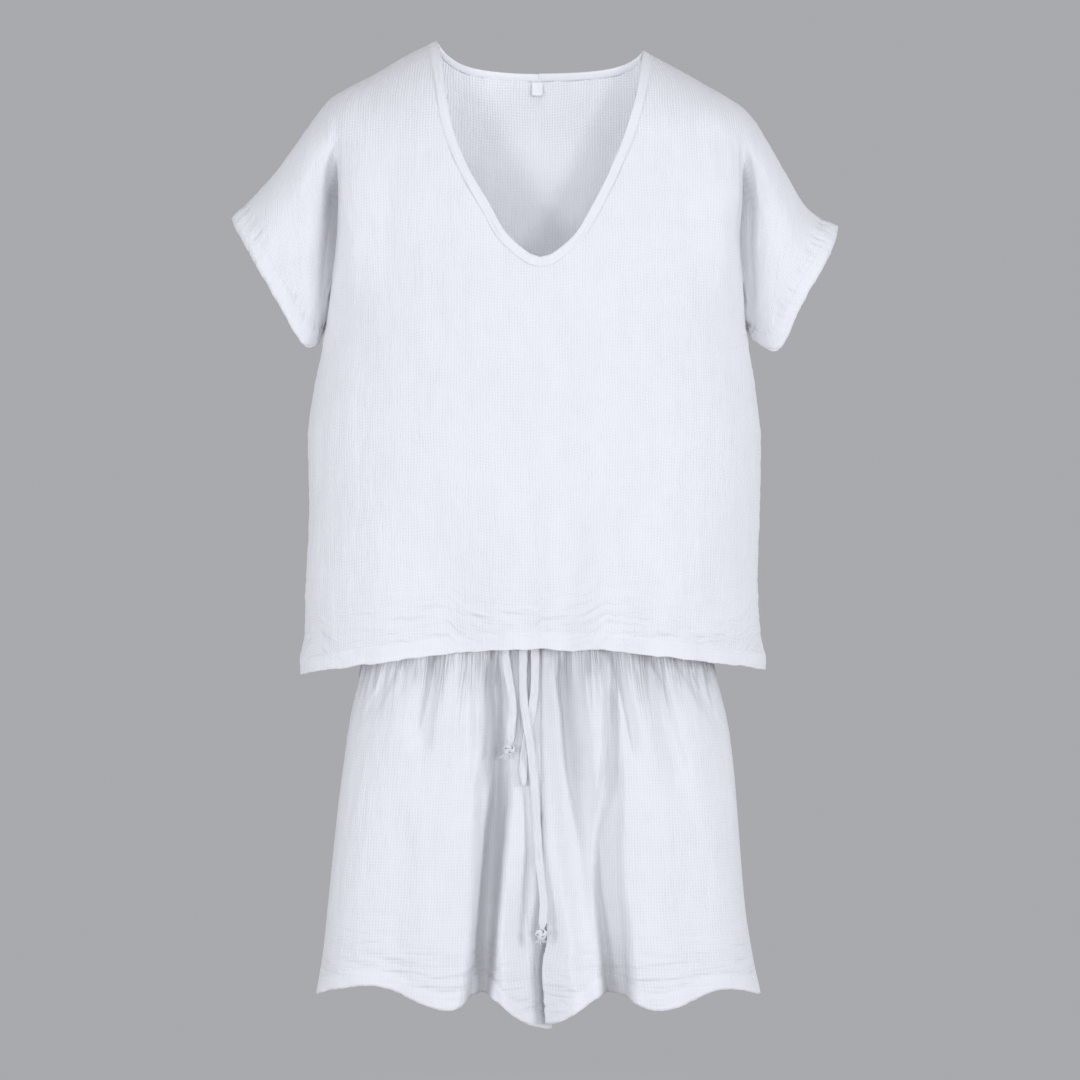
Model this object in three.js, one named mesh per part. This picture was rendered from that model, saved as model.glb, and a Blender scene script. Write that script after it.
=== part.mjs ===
// Two-piece set in crinkled double gauze: a V-neck top with grown-on sleeves, and shorts with a
// gathered elastic waist and a tied drawstring. Both hang as on a wearer, hollow and open at the
// neck, cuffs and hems. Millimetres; +Z is up, -Y is the front, +X is the wearer's left.
// The origin is midway between the neck points, at the height of the shoulders.
// A panel is a grid of points on its outer face, given a wall inwards from there. Front and back
// panels meet at y = 0 along the shoulders, arms, sides and outseams.

import * as THREE from 'three';

// ---- cloth -------------------------------------------------------------------------------------

const wall = 1.2;
const seamGap = 0.3;
const layerGap = 0.3;

const gauze = { color: 0xe9ebf0, roughness: 0.95, metalness: 0 };
const shortsGauze = { color: 0xdfe2ea, roughness: 0.95, metalness: 0 };
const tapeCloth = { color: 0xf0f1f4, roughness: 0.9, metalness: 0 };

// ---- the top -----------------------------------------------------------------------------------

const underarmZ = -296;
const neckArch = 26;
const chestTopZ = -97;
const leastShoulderDrop = 50;
const shoulderRoundness = 1.7;
const sleeveDepth = { front: 46, back: 42 };
const foldStart = 0.25;
const neckBandWidth = 10;
const neckTapeWidth = 8;
const label = { width: 12, height: 14, thickness: 1, x: -3, drop: 9.2, inside: 3, lean: 0.4 };
const hemDip = { power: 1.7, centreZ: -629.5, right: 30, left: 25 };

// Edge of the neck on the front, from the neck points down to the bottom of the V.
const neckPoint = { right: { x: -108, z: 5 }, left: { x: 108, z: -5 } };
const frontNeck = [
  { z: -31, right: -100.5, left: 104 },
  { z: -66, right: -95.5, left: 97.5 },
  { z: -105, right: -87, left: 86 },
  { z: -141, right: -71.5, left: 71 },
  { z: -177, right: -51, left: 53.5 },
  { z: -205, right: -35.5, left: 37.5 },
  { z: -225, right: -15, left: 17.5 },
];
const neckBottom = { x: 1, z: -234.5 };
const backNeck = { x: 1, z: -20.5, dished: 0.35, steepness: 7 };

// Line of the shoulder and the top of the sleeve, outwards from each neck point.
const shoulderLine = {
  right: [
    { x: -108, z: 5 },
    { x: -134, z: -7 },
    { x: -172, z: -29 },
    { x: -210, z: -49 },
    { x: -223, z: -59 },
    { x: -248, z: -92 },
    { x: -273, z: -127 },
    { x: -298, z: -155 },
    { x: -324, z: -181 },
  ],
  left: [
    { x: 108, z: -5 },
    { x: 130, z: -17 },
    { x: 168, z: -38 },
    { x: 206, z: -60 },
    { x: 218, z: -70 },
    { x: 231, z: -88 },
    { x: 256, z: -131 },
    { x: 281, z: -171 },
    { x: 313, z: -189 },
  ],
};

// Front edge of the cuff: its lowest corner, and where it ends at the underarm seam. The corner
// comes at a share of the way around; above it the edge bows out and back in again.
const cuff = {
  right: { corner: { x: -247, z: -317 }, end: { x: -232, z: -312 }, bow: 0.5 },
  left: { corner: { x: 250, z: -323 }, end: { x: 222, z: -308 }, bow: 4.5 },
};
const cuffCorner = 0.81;
const cuffDrop = 46;
const bowDirection = { out: 0.9, down: 0.43 };

// The crest of a sleeve goes down from its shoulder end to the corner of the cuff.
const crestCurve = 0.6;
const foldCurve = 1.4;

// Half-outline of the body: the fold that the hanging sleeve makes above the underarm, and the
// side seam below it.
const bodySide = [
  { z: -52, right: -212, left: 209 },
  { z: -110, right: -210, left: 209 },
  { z: -162, right: -209, left: 209.5 },
  { z: -204, right: -211, left: 207 },
  { z: -256, right: -218, left: 212 },
  { z: -296, right: -225, left: 216 },
  { z: -330, right: -231, left: 221.5 },
  { z: -382, right: -241, left: 229 },
  { z: -408, right: -243.5, left: 231.5 },
  { z: -487, right: -242.5, left: 231 },
  { z: -566, right: -246, left: 228.5 },
  { z: -619, right: -247.5, left: 232 },
  { z: -642, right: -252, left: 237 },
  { z: -662, right: -251.5, left: 237 },
];

// How far the front and the back stand from the plane of the side seams.
const bodyDepth = [
  { z: -97, front: 84, back: 74 },
  { z: -180, front: 92, back: 80 },
  { z: -260, front: 95, back: 79 },
  { z: -400, front: 93, back: 78 },
  { z: -520, front: 93, back: 81 },
  { z: -660, front: 95, back: 85 },
];

// Outline of the body from above: softly rounded at the shoulders, boxier from the chest down.
const bodySection = { soft: 2.4, boxy: 2.6, softZ: -95, boxyZ: -180 };

// Soft upright waves in the lower half of the top: place, half-width and height outwards.
const bodyWaves = [
  { face: 'front', x: -98, width: 42, height: -7, top: -440 },
  { face: 'front', x: 26, width: 36, height: 6, top: -400 },
  { face: 'front', x: 68, width: 34, height: -7, top: -450 },
  { face: 'front', x: 150, width: 50, height: 4, top: -430 },
  { face: 'back', x: -120, width: 50, height: 6, top: -400 },
  { face: 'back', x: -40, width: 40, height: -7, top: -380 },
  { face: 'back', x: 60, width: 44, height: 6, top: -420 },
  { face: 'back', x: 130, width: 38, height: -6, top: -460 },
];
const wavesFullZ = -640;

// ---- the shorts --------------------------------------------------------------------------------

const waistTopZ = -580;
const waistSeamZ = -612;
const waistbandThickness = 2.6;
const risePlane = 1;
const crotchZ = -926;
const inseamY = 10;
const hipRoundness = 2.4;
const legRoundness = 3.2;
const riseCurve = { start: 0.5, power: 2.2, across: 0.55 };
const legFormsFrom = 0.2;
const inseamFrom = 0.8;

const shortsSide = [
  { z: -580, right: -177, left: 173 },
  { z: -612, right: -181, left: 177 },
  { z: -655, right: -189, left: 184 },
  { z: -713, right: -200.5, left: 197.5 },
  { z: -760, right: -207, left: 203.5 },
  { z: -792, right: -211, left: 206 },
  { z: -897, right: -221.5, left: 214 },
  { z: -949, right: -227, left: 222 },
  { z: -990, right: -234, left: 230.5 },
];
const shortsDepth = [
  { z: -580, front: 66, back: 63 },
  { z: -612, front: 68, back: 65 },
  { z: -655, front: 74, back: 70 },
  { z: -740, front: 81, back: 76 },
  { z: -850, front: 86, back: 79 },
  { z: -990, front: 91, back: 82 },
];

// Height of the leg hems by how far across the leg they are, from outseam to inseam.
const legHem = {
  front_right: [
    { across: 0, z: -990 },
    { across: 0.08, z: -980 },
    { across: 0.28, z: -974 },
    { across: 0.57, z: -997 },
    { across: 0.73, z: -985 },
    { across: 0.9, z: -1014 },
    { across: 1, z: -1029 },
  ],
  front_left: [
    { across: 0, z: -990 },
    { across: 0.08, z: -981 },
    { across: 0.2, z: -978 },
    { across: 0.46, z: -997 },
    { across: 0.7, z: -984 },
    { across: 0.9, z: -1011 },
    { across: 1, z: -1018 },
  ],
  back_right: [
    { across: 0, z: -990 },
    { across: 0.3, z: -981 },
    { across: 0.55, z: -993 },
    { across: 0.8, z: -996 },
    { across: 1, z: -1029 },
  ],
  back_left: [
    { across: 0, z: -990 },
    { across: 0.25, z: -984 },
    { across: 0.5, z: -995 },
    { across: 0.75, z: -991 },
    { across: 1, z: -1018 },
  ],
};

// Inner edge of each leg at the hem: its crest, and the inseam behind the crest. The crest starts
// at a share of the way across. Above the hem the edges draw together to the crotch.
const legInner = {
  right: { crest: 8, inseam: 14, crestAt: 0.9, roundness: 3.2, parting: 0.15 },
  left: { crest: 4, inseam: 18.5, crestAt: 0.97, roundness: 5.5, parting: 1.5 },
};
const legSpread = 40;

// Folds that fall from the gathers: where across the leg they start and end, the share of the
// drop that they run over, half-width and depth in millimetres.
const legFolds = {
  front_right: [
    { topAcross: 0.755, hemAcross: 0.735, top: 0, hem: 1.3, width: 17, depth: 30 },
    { topAcross: 0.4, hemAcross: 0.38, top: 0, hem: 0.38, width: 11, depth: 11 },
    { topAcross: 0.24, hemAcross: 0.3, top: 0, hem: 0.24, width: 12, depth: 7 },
    { topAcross: 0.62, hemAcross: 0.6, top: 0.12, hem: 0.52, width: 13, depth: 6 },
    { topAcross: 0.5, hemAcross: 0.57, top: 0.45, hem: 1.6, width: 34, depth: -9 },
  ],
  front_left: [
    { topAcross: 0.93, hemAcross: 0.7, top: 0, hem: 1.3, width: 17, depth: 22 },
    { topAcross: 0.6, hemAcross: 0.53, top: 0, hem: 0.42, width: 10, depth: 12 },
    { topAcross: 0.38, hemAcross: 0.28, top: 0, hem: 0.55, width: 13, depth: 8 },
    { topAcross: 0.12, hemAcross: 0.05, top: 0, hem: 0.34, width: 12, depth: 6 },
    { topAcross: 0.5, hemAcross: 0.47, top: 0.45, hem: 1.6, width: 34, depth: -9 },
  ],
  back_right: [
    { topAcross: 0.8, hemAcross: 0.72, top: 0, hem: 1.3, width: 20, depth: 22 },
    { topAcross: 0.52, hemAcross: 0.44, top: 0, hem: 0.62, width: 15, depth: 11 },
    { topAcross: 0.25, hemAcross: 0.2, top: 0, hem: 1.4, width: 20, depth: 15 },
  ],
  back_left: [
    { topAcross: 0.72, hemAcross: 0.66, top: 0, hem: 1.3, width: 20, depth: 23 },
    { topAcross: 0.45, hemAcross: 0.4, top: 0, hem: 0.52, width: 15, depth: 12 },
    { topAcross: 0.3, hemAcross: 0.16, top: 0, hem: 1.4, width: 20, depth: 14 },
  ],
};
const foldRun = { before: 0.02, full: 0.09, fades: 0.5, reach: 1.6, flatEdge: 1.15 };

// ---- the drawstring ----------------------------------------------------------------------------

const string = { width: 8.5, thickness: 2.4, corners: 8, step: 19, flatness: 0.5 };

const bowKnot = { x: -17, y: -76, z: -595, width: 28, depth: 10, height: 17 };

const stringRoutes = {
  drawstring_tail_right: [
    { x: -28.5, y: -76, z: -601.2 },
    { x: -34, y: -77, z: -620 },
    { x: -35.5, y: -78, z: -636 },
    { x: -32.5, y: -79.5, z: -656 },
    { x: -29, y: -81, z: -676 },
    { x: -28, y: -82, z: -692 },
    { x: -29, y: -83, z: -710 },
    { x: -30.5, y: -84, z: -728 },
  ],
  drawstring_tail_left: [
    { x: -17, y: -76, z: -603.9 },
    { x: -17.3, y: -78, z: -630 },
    { x: -17.5, y: -80.5, z: -660 },
    { x: -16.5, y: -84, z: -684 },
    { x: -13.5, y: -88, z: -705 },
    { x: -9.5, y: -90.5, z: -730 },
    { x: -6.5, y: -90, z: -760 },
    { x: -4, y: -87.5, z: -795 },
    { x: -2, y: -85.5, z: -832 },
    { x: 1.5, y: -84, z: -866 },
    { x: 3.8, y: -82.5, z: -890 },
    { x: 2, y: -81, z: -917 },
  ],
};

// The loop of the bow is one length of string folded flat on itself.
const stringLoop = {
  route: [
    { x: -5.6, y: -76, z: -602.3 },
    { x: -5, y: -77.5, z: -635 },
    { x: -5.4, y: -79.8, z: -668 },
    { x: -7.5, y: -81.2, z: -688 },
    { x: -11.5, y: -82.4, z: -711 },
    { x: -15.5, y: -83.4, z: -734 },
    { x: -17, y: -84.4, z: -752 },
    { x: -16.5, y: -85.2, z: -766 },
  ],
  gap: 0.4,
};

const endKnots = {
  end_knot_right: { x: -31.5, y: -84, z: -732.3, width: 12, depth: 6.5, height: 8 },
  end_knot_left: { x: 1.2, y: -80.5, z: -921.3, width: 12, depth: 6.5, height: 8 },
};

// ---- working with tables and curves -----------------------------------------------------------

const mix = (a, b, share) => a + (b - a) * share;
const clamp = (value) => Math.min(1, Math.max(0, value));

function ease(from, to, value) {
  const share = clamp((value - from) / (to - from));
  return share * share * (3 - 2 * share);
}

// Reads one column of a table at a place in its key column, smoothly between the rows.
function read(table, key, column, at) {
  const rising = table[1][key] > table[0][key];
  const order = rising ? 1 : -1;
  const last = table.length - 1;
  if ((at - table[0][key]) * order <= 0) return table[0][column];
  if ((at - table[last][key]) * order >= 0) return table[last][column];
  let row = 0;
  while ((at - table[row + 1][key]) * order > 0) row += 1;
  const slope = (index) => {
    const before = Math.max(0, index - 1);
    const after = Math.min(last, index + 1);
    const run = table[after][key] - table[before][key];
    return (table[after][column] - table[before][column]) / run;
  };
  const [start, end] = [table[row], table[row + 1]];
  const run = end[key] - start[key];
  const t = (at - start[key]) / run;
  const startPull = slope(row) * run;
  const endPull = slope(row + 1) * run;
  return (
    start[column] * (1 + 2 * t) * (1 - t) ** 2 +
    startPull * t * (1 - t) ** 2 +
    end[column] * t * t * (3 - 2 * t) -
    endPull * t * t * (1 - t)
  );
}

// Quarter of a rounded outline: 0 with an upright start, 1 with a level end.
const quarterRound = (share, power) => (1 - (1 - clamp(share)) ** power) ** (1 / power);

// ---- cloth as a grid of points given a wall ---------------------------------------------------

class Cloth {
  constructor() {
    this.points = [];
    this.flatAlong = [];
    this.places = new Map();
    this.triangles = [];
    this.givenNormals = null;
  }

  // Adds a point once; flatAlong lists the axes along which its wall must not lean, at a seam.
  point(name, position, flatAlong = '') {
    if (!this.places.has(name)) {
      this.places.set(name, this.points.length);
      this.points.push(position);
      this.flatAlong.push(flatAlong);
    }
    return this.places.get(name);
  }

  // A four-sided cell given in turn around its edge, split between its second and fourth corner.
  cell(corners, turned) {
    const [a, b, c, d] = corners.map((name) => this.places.get(name));
    const pair = turned ? [[a, d, b], [b, d, c]] : [[a, b, d], [b, c, d]];
    this.triangles.push(...pair);
  }

  normals() {
    if (this.givenNormals) return this.givenNormals;
    const sums = this.points.map(() => new THREE.Vector3());
    for (const [a, b, c] of this.triangles) {
      const edge = this.points[b].clone().sub(this.points[a]);
      const face = edge.cross(this.points[c].clone().sub(this.points[a]));
      for (const corner of [a, b, c]) sums[corner].add(face);
    }
    return sums.map((sum, index) => {
      for (const axis of this.flatAlong[index]) sum[axis] = 0;
      return sum.normalize();
    });
  }

  // The closed wall: an outer face moved out by lift, an inner face wall behind it, and the rims.
  geometry(lift = 0, thickness = wall) {
    const normals = this.normals();
    const count = this.points.length;
    const outer = this.points.map((p, i) => p.clone().addScaledVector(normals[i], lift));
    const inner = outer.map((p, i) => p.clone().addScaledVector(normals[i], -thickness));
    const facets = [];
    const edges = new Map();
    for (const [a, b, c] of this.triangles) {
      facets.push([a, b, c], [a + count, c + count, b + count]);
      for (const [from, to] of [[a, b], [b, c], [c, a]]) edges.set(`${from} ${to}`, [from, to]);
    }
    for (const [from, to] of edges.values()) {
      if (edges.has(`${to} ${from}`)) continue;
      facets.push([to, from, from + count], [to, from + count, to + count]);
    }
    return geometryOf([...outer, ...inner], facets);
  }
}

function geometryOf(points, facets) {
  const geometry = new THREE.BufferGeometry();
  const positions = points.flatMap((p) => [p.x, p.y, p.z]);
  geometry.setAttribute('position', new THREE.Float32BufferAttribute(positions, 3));
  geometry.setIndex(facets.flat());
  return geometry;
}

// ---- form of the top ---------------------------------------------------------------------------

const sides = ['right', 'left'];
const faces = ['front', 'back'];
const sideSign = { right: -1, left: 1 };
const faceSign = { front: -1, back: 1 };
const halfSeam = seamGap / 2;
const bodyCentre = neckBottom.x;

// Height of the shoulder line, carried over the neck opening as an arch.
function shoulderHeight(x) {
  const side = x < 0 ? 'right' : 'left';
  const reach = Math.abs(neckPoint[side].x);
  const share = Math.abs(x) / reach;
  if (share < 1) return neckPoint[side].z + neckArch * (1 - share * share);
  return read(shoulderLine[side], 'x', 'z', x);
}

const shoulderDrop = (x) => Math.max(leastShoulderDrop, shoulderHeight(x) - chestTopZ);
const sideX = (side, z) => read(bodySide, 'z', side, z);
const foldTopX = (side) => bodySide[0][side];
const foldTopZ = (side) => shoulderHeight(foldTopX(side));

// Depth of the fold line where the sleeve hangs from the body; nothing at the underarm.
function foldShare(along, start) {
  return 1 - clamp((along - start) / (1 - start)) ** foldCurve;
}
function foldDepth(face, side, z) {
  const along = clamp((foldTopZ(side) - z) / (foldTopZ(side) - underarmZ));
  return sleeveDepth[face] * foldShare(along, foldStart);
}

// How far the cloth of the body stands from y = 0 at a place seen from the front.
function bodyOut(face, x, z) {
  const side = x < bodyCentre ? 'right' : 'left';
  const reach = Math.abs(sideX(side, z) - bodyCentre);
  const across = Math.min(1, Math.abs(x - bodyCentre) / reach);
  const fold = foldDepth(face, side, z);
  const full = read(bodyDepth, 'z', face, z);
  const soft = 1 - across ** bodySection.soft;
  const boxy = Math.sqrt(1 - across ** bodySection.boxy);
  const section = mix(soft, boxy, ease(bodySection.softZ, bodySection.boxyZ, z));
  const roll = quarterRound((shoulderHeight(x) - z) / shoulderDrop(x), shoulderRoundness);
  let waves = 0;
  for (const wave of bodyWaves) {
    if (wave.face !== face) continue;
    const near = clamp(1 - ((x - wave.x) / (2 * wave.width)) ** 2);
    waves += wave.height * near ** 3 * ease(wave.top, wavesFullZ, z);
  }
  return roll * (fold + (full - fold + waves) * section);
}

const hemZ = (x) => {
  const side = x < bodyCentre ? 'right' : 'left';
  const reach = Math.abs(bodySide.at(-1)[side] - bodyCentre);
  return hemDip.centreZ - hemDip[side] * (Math.abs(x - bodyCentre) / reach) ** hemDip.power;
};

// The edge of the cuff as seen from the front: down to its corner, then in to the underarm seam.
function cuffEdge(side, along) {
  const { corner, end, bow } = cuff[side];
  const top = shoulderLine[side].at(-1);
  if (along > cuffCorner) {
    const share = (along - cuffCorner) / (1 - cuffCorner);
    return { x: mix(corner.x, end.x, share), z: mix(corner.z, end.z, share) };
  }
  const share = along / cuffCorner;
  const out = bow * Math.sin(2 * Math.PI * share) * (1 - share);
  const x = mix(top.x, corner.x, share) + bowDirection.out * out * sideSign[side];
  return { x, z: mix(top.z, corner.z, share) - bowDirection.down * out };
}

// The sleeve: outward runs from the fold line to the cuff, down from the arm line to the seam.
function sleevePoint(face, side, outward, down) {
  const foldLine = (share) => {
    const z = mix(foldTopZ(side), underarmZ, share);
    return { x: sideX(side, z), z };
  };
  const armLine = (share) => {
    const x = mix(foldTopX(side), shoulderLine[side].at(-1).x, share);
    return { x, z: shoulderHeight(x) };
  };
  const underarm = (share) => ({
    x: mix(sideX(side, underarmZ), cuff[side].end.x, share),
    z: mix(underarmZ, cuff[side].end.z, share),
  });
  const blend = (axis) => {
    const across = mix(foldLine(down)[axis], cuffEdge(side, down)[axis], outward);
    const along = mix(armLine(outward)[axis], underarm(outward)[axis], down);
    const top = mix(armLine(0)[axis], armLine(1)[axis], outward);
    const bottom = mix(underarm(0)[axis], underarm(1)[axis], outward);
    return across + along - mix(top, bottom, down);
  };
  const crest = mix(foldStart, cuffCorner, outward ** crestCurve);
  const drop = down * (armLine(outward).z - underarm(outward).z);
  const rollDrop = mix(shoulderDrop(foldTopX(side)), cuffDrop, outward);
  const roll = quarterRound(drop / rollDrop, shoulderRoundness);
  const out = roll * sleeveDepth[face] * foldShare(down, crest);
  const y = faceSign[face] * Math.max(out, halfSeam);
  return new THREE.Vector3(blend('x'), y, blend('z'));
}

function bodyPoint(face, x, z) {
  return new THREE.Vector3(x, faceSign[face] * Math.max(bodyOut(face, x, z), halfSeam), z);
}

// ---- panels of the top -------------------------------------------------------------------------

const upperRows = 12;
const lowerRows = 7;
const bodyColumns = 10;
const neckColumns = 4;
const sleeveShares = [0.1, 0.24, 0.44, 0.7, 1];
const rowCrowding = { outerEdge: 1.5, cuff: 1.15, neck: 1.05, centreBack: 1.3 };
const columnCrowding = 1.9;
const rowShare = (row, rows, power) => (row / rows) ** power;
const columnShare = (column, columns) => 1 - (1 - column / columns) ** columnCrowding;

// Names of the grid points; the two halves share their centre line.
function placeName(side, column, row, shared) {
  return shared && column === 0 ? `centre ${row}` : `${side} ${column} ${row}`;
}

// Outer edge of the body part of a panel, from the shoulder to the underarm.
function outerEdge(side, row) {
  const z = mix(foldTopZ(side), underarmZ, rowShare(row, upperRows, rowCrowding.outerEdge));
  return { x: sideX(side, z), z };
}

// Inner edge of the front: the neck down to the V, then a short way down the centre.
const neckRows = upperRows - 2;
function frontInner(side, row) {
  if (row > neckRows) {
    const drops = { [neckRows + 1]: neckBottom.z - neckBandWidth, [upperRows]: underarmZ };
    return { x: neckBottom.x, z: drops[row] };
  }
  const edge = [
    { z: neckPoint[side].z, [side]: neckPoint[side].x },
    ...frontNeck,
    { z: neckBottom.z, [side]: neckBottom.x },
  ];
  const z = mix(neckPoint[side].z, neckBottom.z, rowShare(row, neckRows, rowCrowding.neck));
  return { x: read(edge, 'z', side, z), z };
}

// Upper edge of the back: from the centre of the neck to the neck point, then the shoulder.
function backUpper(side, column) {
  const neck = neckPoint[side];
  if (column <= neckColumns) {
    const share = column / neckColumns;
    const x = mix(backNeck.x, neck.x, share);
    const rise = mix(share ** backNeck.steepness, share ** 2, backNeck.dished);
    return { x, z: mix(backNeck.z, neck.z, rise) };
  }
  const share = columnShare(column - neckColumns, bodyColumns - neckColumns);
  const x = mix(neck.x, foldTopX(side), share);
  return { x, z: shoulderHeight(x) };
}

// Inner edge of the back: straight down its centre.
function backInner(row) {
  const share = rowShare(row, upperRows, rowCrowding.centreBack);
  return { x: backNeck.x, z: mix(backNeck.z, underarmZ, share) };
}

// Upper edge of a front: its shoulder seam.
function frontUpper(side, column) {
  const x = mix(neckPoint[side].x, foldTopX(side), columnShare(column, bodyColumns));
  return { x, z: shoulderHeight(x) };
}

// The upper body of a panel, blended between its four edges.
function blendEdges(edges, across, down, acrossShare, downShare) {
  const value = (axis) => {
    const level = mix(edges.inner(down)[axis], edges.outer(down)[axis], acrossShare);
    const upright = mix(edges.upper(across)[axis], edges.lower(across)[axis], downShare);
    const corners = mix(
      mix(edges.upper(0)[axis], edges.upper(bodyColumns)[axis], acrossShare),
      mix(edges.lower(0)[axis], edges.lower(bodyColumns)[axis], acrossShare),
      downShare,
    );
    return level + upright - corners;
  };
  return { x: value('x'), z: value('z') };
}

function panelEdges(face, side) {
  const front = face === 'front';
  return {
    outer: (row) => outerEdge(side, row),
    inner: (row) => (front ? frontInner(side, row) : backInner(row)),
    upper: (column) => (front ? frontUpper(side, column) : backUpper(side, column)),
    lower: (column) => ({
      x: mix(bodyCentre, sideX(side, underarmZ), columnShare(column, bodyColumns)),
      z: underarmZ,
    }),
  };
}

// A place between two others, a set distance from the first.
function stepFrom(from, to, distance) {
  const share = distance / Math.hypot(to.x - from.x, to.z - from.z);
  return { x: mix(from.x, to.x, share), z: mix(from.z, to.z, share) };
}

// A place in the upper body, with room for the neck band and the neck tape along the neck.
function upperPlace(face, edges, column, row) {
  const place = (c, r) => blendEdges(edges, c, r, columnShare(c, bodyColumns), r / upperRows);
  if (face === 'front' && column === 1) {
    return stepFrom(place(0, row), place(2, row), neckBandWidth);
  }
  if (face === 'back' && row === 1 && column <= neckColumns) {
    return stepFrom(place(column, 0), place(column, 2), neckTapeWidth);
  }
  return place(column, row);
}

// A place in the lower body, between the underarm and the hem.
function lowerPlace(side, column, row) {
  const share = row / lowerRows;
  const across = columnShare(column, bodyColumns);
  const placeX = (z) => mix(bodyCentre, sideX(side, z), across);
  const hemX = placeX(mix(underarmZ, hemZ(placeX(hemDip.centreZ)), share));
  const z = mix(underarmZ, hemZ(hemX), share);
  return { x: placeX(z), z };
}

function topPanel(face) {
  const cloth = new Cloth();
  const allRows = upperRows + lowerRows;
  const shared = (row) => face === 'back' || row >= neckRows;
  const nameAt = (side, column, row) => placeName(side, column, row, shared(row));
  const put = (side, column, row, point, onSeam) => {
    if (onSeam) point.y = faceSign[face] * halfSeam;
    cloth.point(nameAt(side, column, row), point, onSeam ? 'y' : '');
  };
  for (const side of sides) {
    const edges = panelEdges(face, side);
    for (let row = 0; row <= allRows; row += 1) {
      for (let column = 0; column <= bodyColumns; column += 1) {
        const { x, z } =
          row <= upperRows
            ? upperPlace(face, edges, column, row)
            : lowerPlace(side, column, row - upperRows);
        const onShoulder = row === 0 && (face === 'front' || column >= neckColumns);
        const onSide = row >= upperRows && column === bodyColumns;
        put(side, column, row, bodyPoint(face, x, z), onShoulder || onSide);
      }
    }
    for (let row = 0; row <= upperRows; row += 1) {
      sleeveShares.forEach((outward, index) => {
        const onFold = rowShare(row, upperRows, rowCrowding.outerEdge);
        const onCuff = rowShare(row, upperRows, rowCrowding.cuff);
        const point = sleevePoint(face, side, outward, mix(onFold, onCuff, outward));
        const onSeam = row === 0 || row === upperRows;
        put(side, bodyColumns + 1 + index, row, point, onSeam);
      });
    }
    const turned = (side === 'left') === (face === 'front');
    for (let row = 0; row < allRows; row += 1) {
      const end = row < upperRows ? bodyColumns + sleeveShares.length : bodyColumns;
      for (let column = 0; column < end; column += 1) {
        const corners = [
          nameAt(side, column, row),
          nameAt(side, column + 1, row),
          nameAt(side, column + 1, row + 1),
          nameAt(side, column, row + 1),
        ];
        cloth.cell(corners, turned);
      }
    }
  }
  return cloth;
}

// A strip that lies on a panel: some of its triangles again, on points of its own, that go out
// along the panel's own normals.
function stripOf(panel, triangles) {
  const strip = new Cloth();
  const normals = panel.normals();
  strip.triangles = triangles.map((triangle) =>
    triangle.map((name) => strip.point(name, panel.points[panel.places.get(name)])),
  );
  strip.givenNormals = [...strip.places.keys()].map((name) => normals[panel.places.get(name)]);
  return strip;
}

// The band around the V: the first column of the front panel, mitred under the V.
function neckBand(front) {
  const triangles = [];
  for (const side of sides) {
    const name = (column, row) => placeName(side, column, row, row >= neckRows);
    for (let row = 0; row < neckRows; row += 1) {
      const [a, b, c, d] = [name(0, row), name(1, row), name(1, row + 1), name(0, row + 1)];
      const pair = side === 'left' ? [[a, d, b], [b, d, c]] : [[a, b, d], [b, c, d]];
      triangles.push(...pair);
    }
    const [a, b, d] = [name(0, neckRows), name(1, neckRows), name(0, neckRows + 1)];
    triangles.push(side === 'left' ? [a, d, b] : [a, b, d]);
  }
  return stripOf(front, triangles).geometry(layerGap + wall, wall);
}

// The tape inside the back of the neck: the first row of the back panel.
function neckTape(back) {
  const triangles = [];
  for (const side of sides) {
    const name = (column, row) => placeName(side, column, row, true);
    for (let column = 0; column < neckColumns; column += 1) {
      const [a, b] = [name(column, 0), name(column + 1, 0)];
      const [c, d] = [name(column + 1, 1), name(column, 1)];
      const pair = side === 'right' ? [[a, d, b], [b, d, c]] : [[a, b, d], [b, c, d]];
      triangles.push(...pair);
    }
  }
  return stripOf(back, triangles).geometry(-wall - layerGap, wall);
}

function sizeLabel() {
  const cloth = new Cloth();
  const inside = wall + layerGap + label.inside;
  const topZ = backNeck.z - label.drop;
  for (const row of [0, 1, 2]) {
    for (const column of [0, 1, 2]) {
      const x = label.x + (column / 2 - 0.5) * label.width;
      const z = topZ - (row / 2) * label.height;
      const y = bodyOut('back', x, z) - inside - label.lean * row;
      cloth.point(`${column} ${row}`, new THREE.Vector3(x, y, z));
    }
  }
  for (const row of [0, 1]) {
    for (const column of [0, 1]) {
      const corners = [
        `${column} ${row}`,
        `${column + 1} ${row}`,
        `${column + 1} ${row + 1}`,
        `${column} ${row + 1}`,
      ];
      cloth.cell(corners, false);
    }
  }
  return cloth.geometry(0, label.thickness);
}

// ---- form and panels of the shorts ------------------------------------------------------------

const crotchShare = { right: 0, left: 0 };
for (const side of sides) {
  const inseamHem = legHem[`front_${side}`].at(-1).z;
  crotchShare[side] = (crotchZ - waistSeamZ) / (inseamHem - waistSeamZ);
}
const legRowsAbove = [0, 0.06, 0.18, 0.38, 0.6, 0.78, 0.9, 0.965, 1];
const legRowsBelow = [0.25, 0.6, 1];
const legColumns = {
  front: [
    0, 0.007, 0.04, 0.1, 0.18, 0.26, 0.34, 0.42, 0.5, 0.58, 0.65, 0.7, 0.74, 0.79, 0.85, 0.91,
    0.965, 0.99, 1,
  ],
  back: [0, 0.007, 0.05, 0.12, 0.2, 0.29, 0.38, 0.46, 0.55, 0.63, 0.7, 0.77, 0.85, 0.93, 0.985, 1],
};

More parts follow.
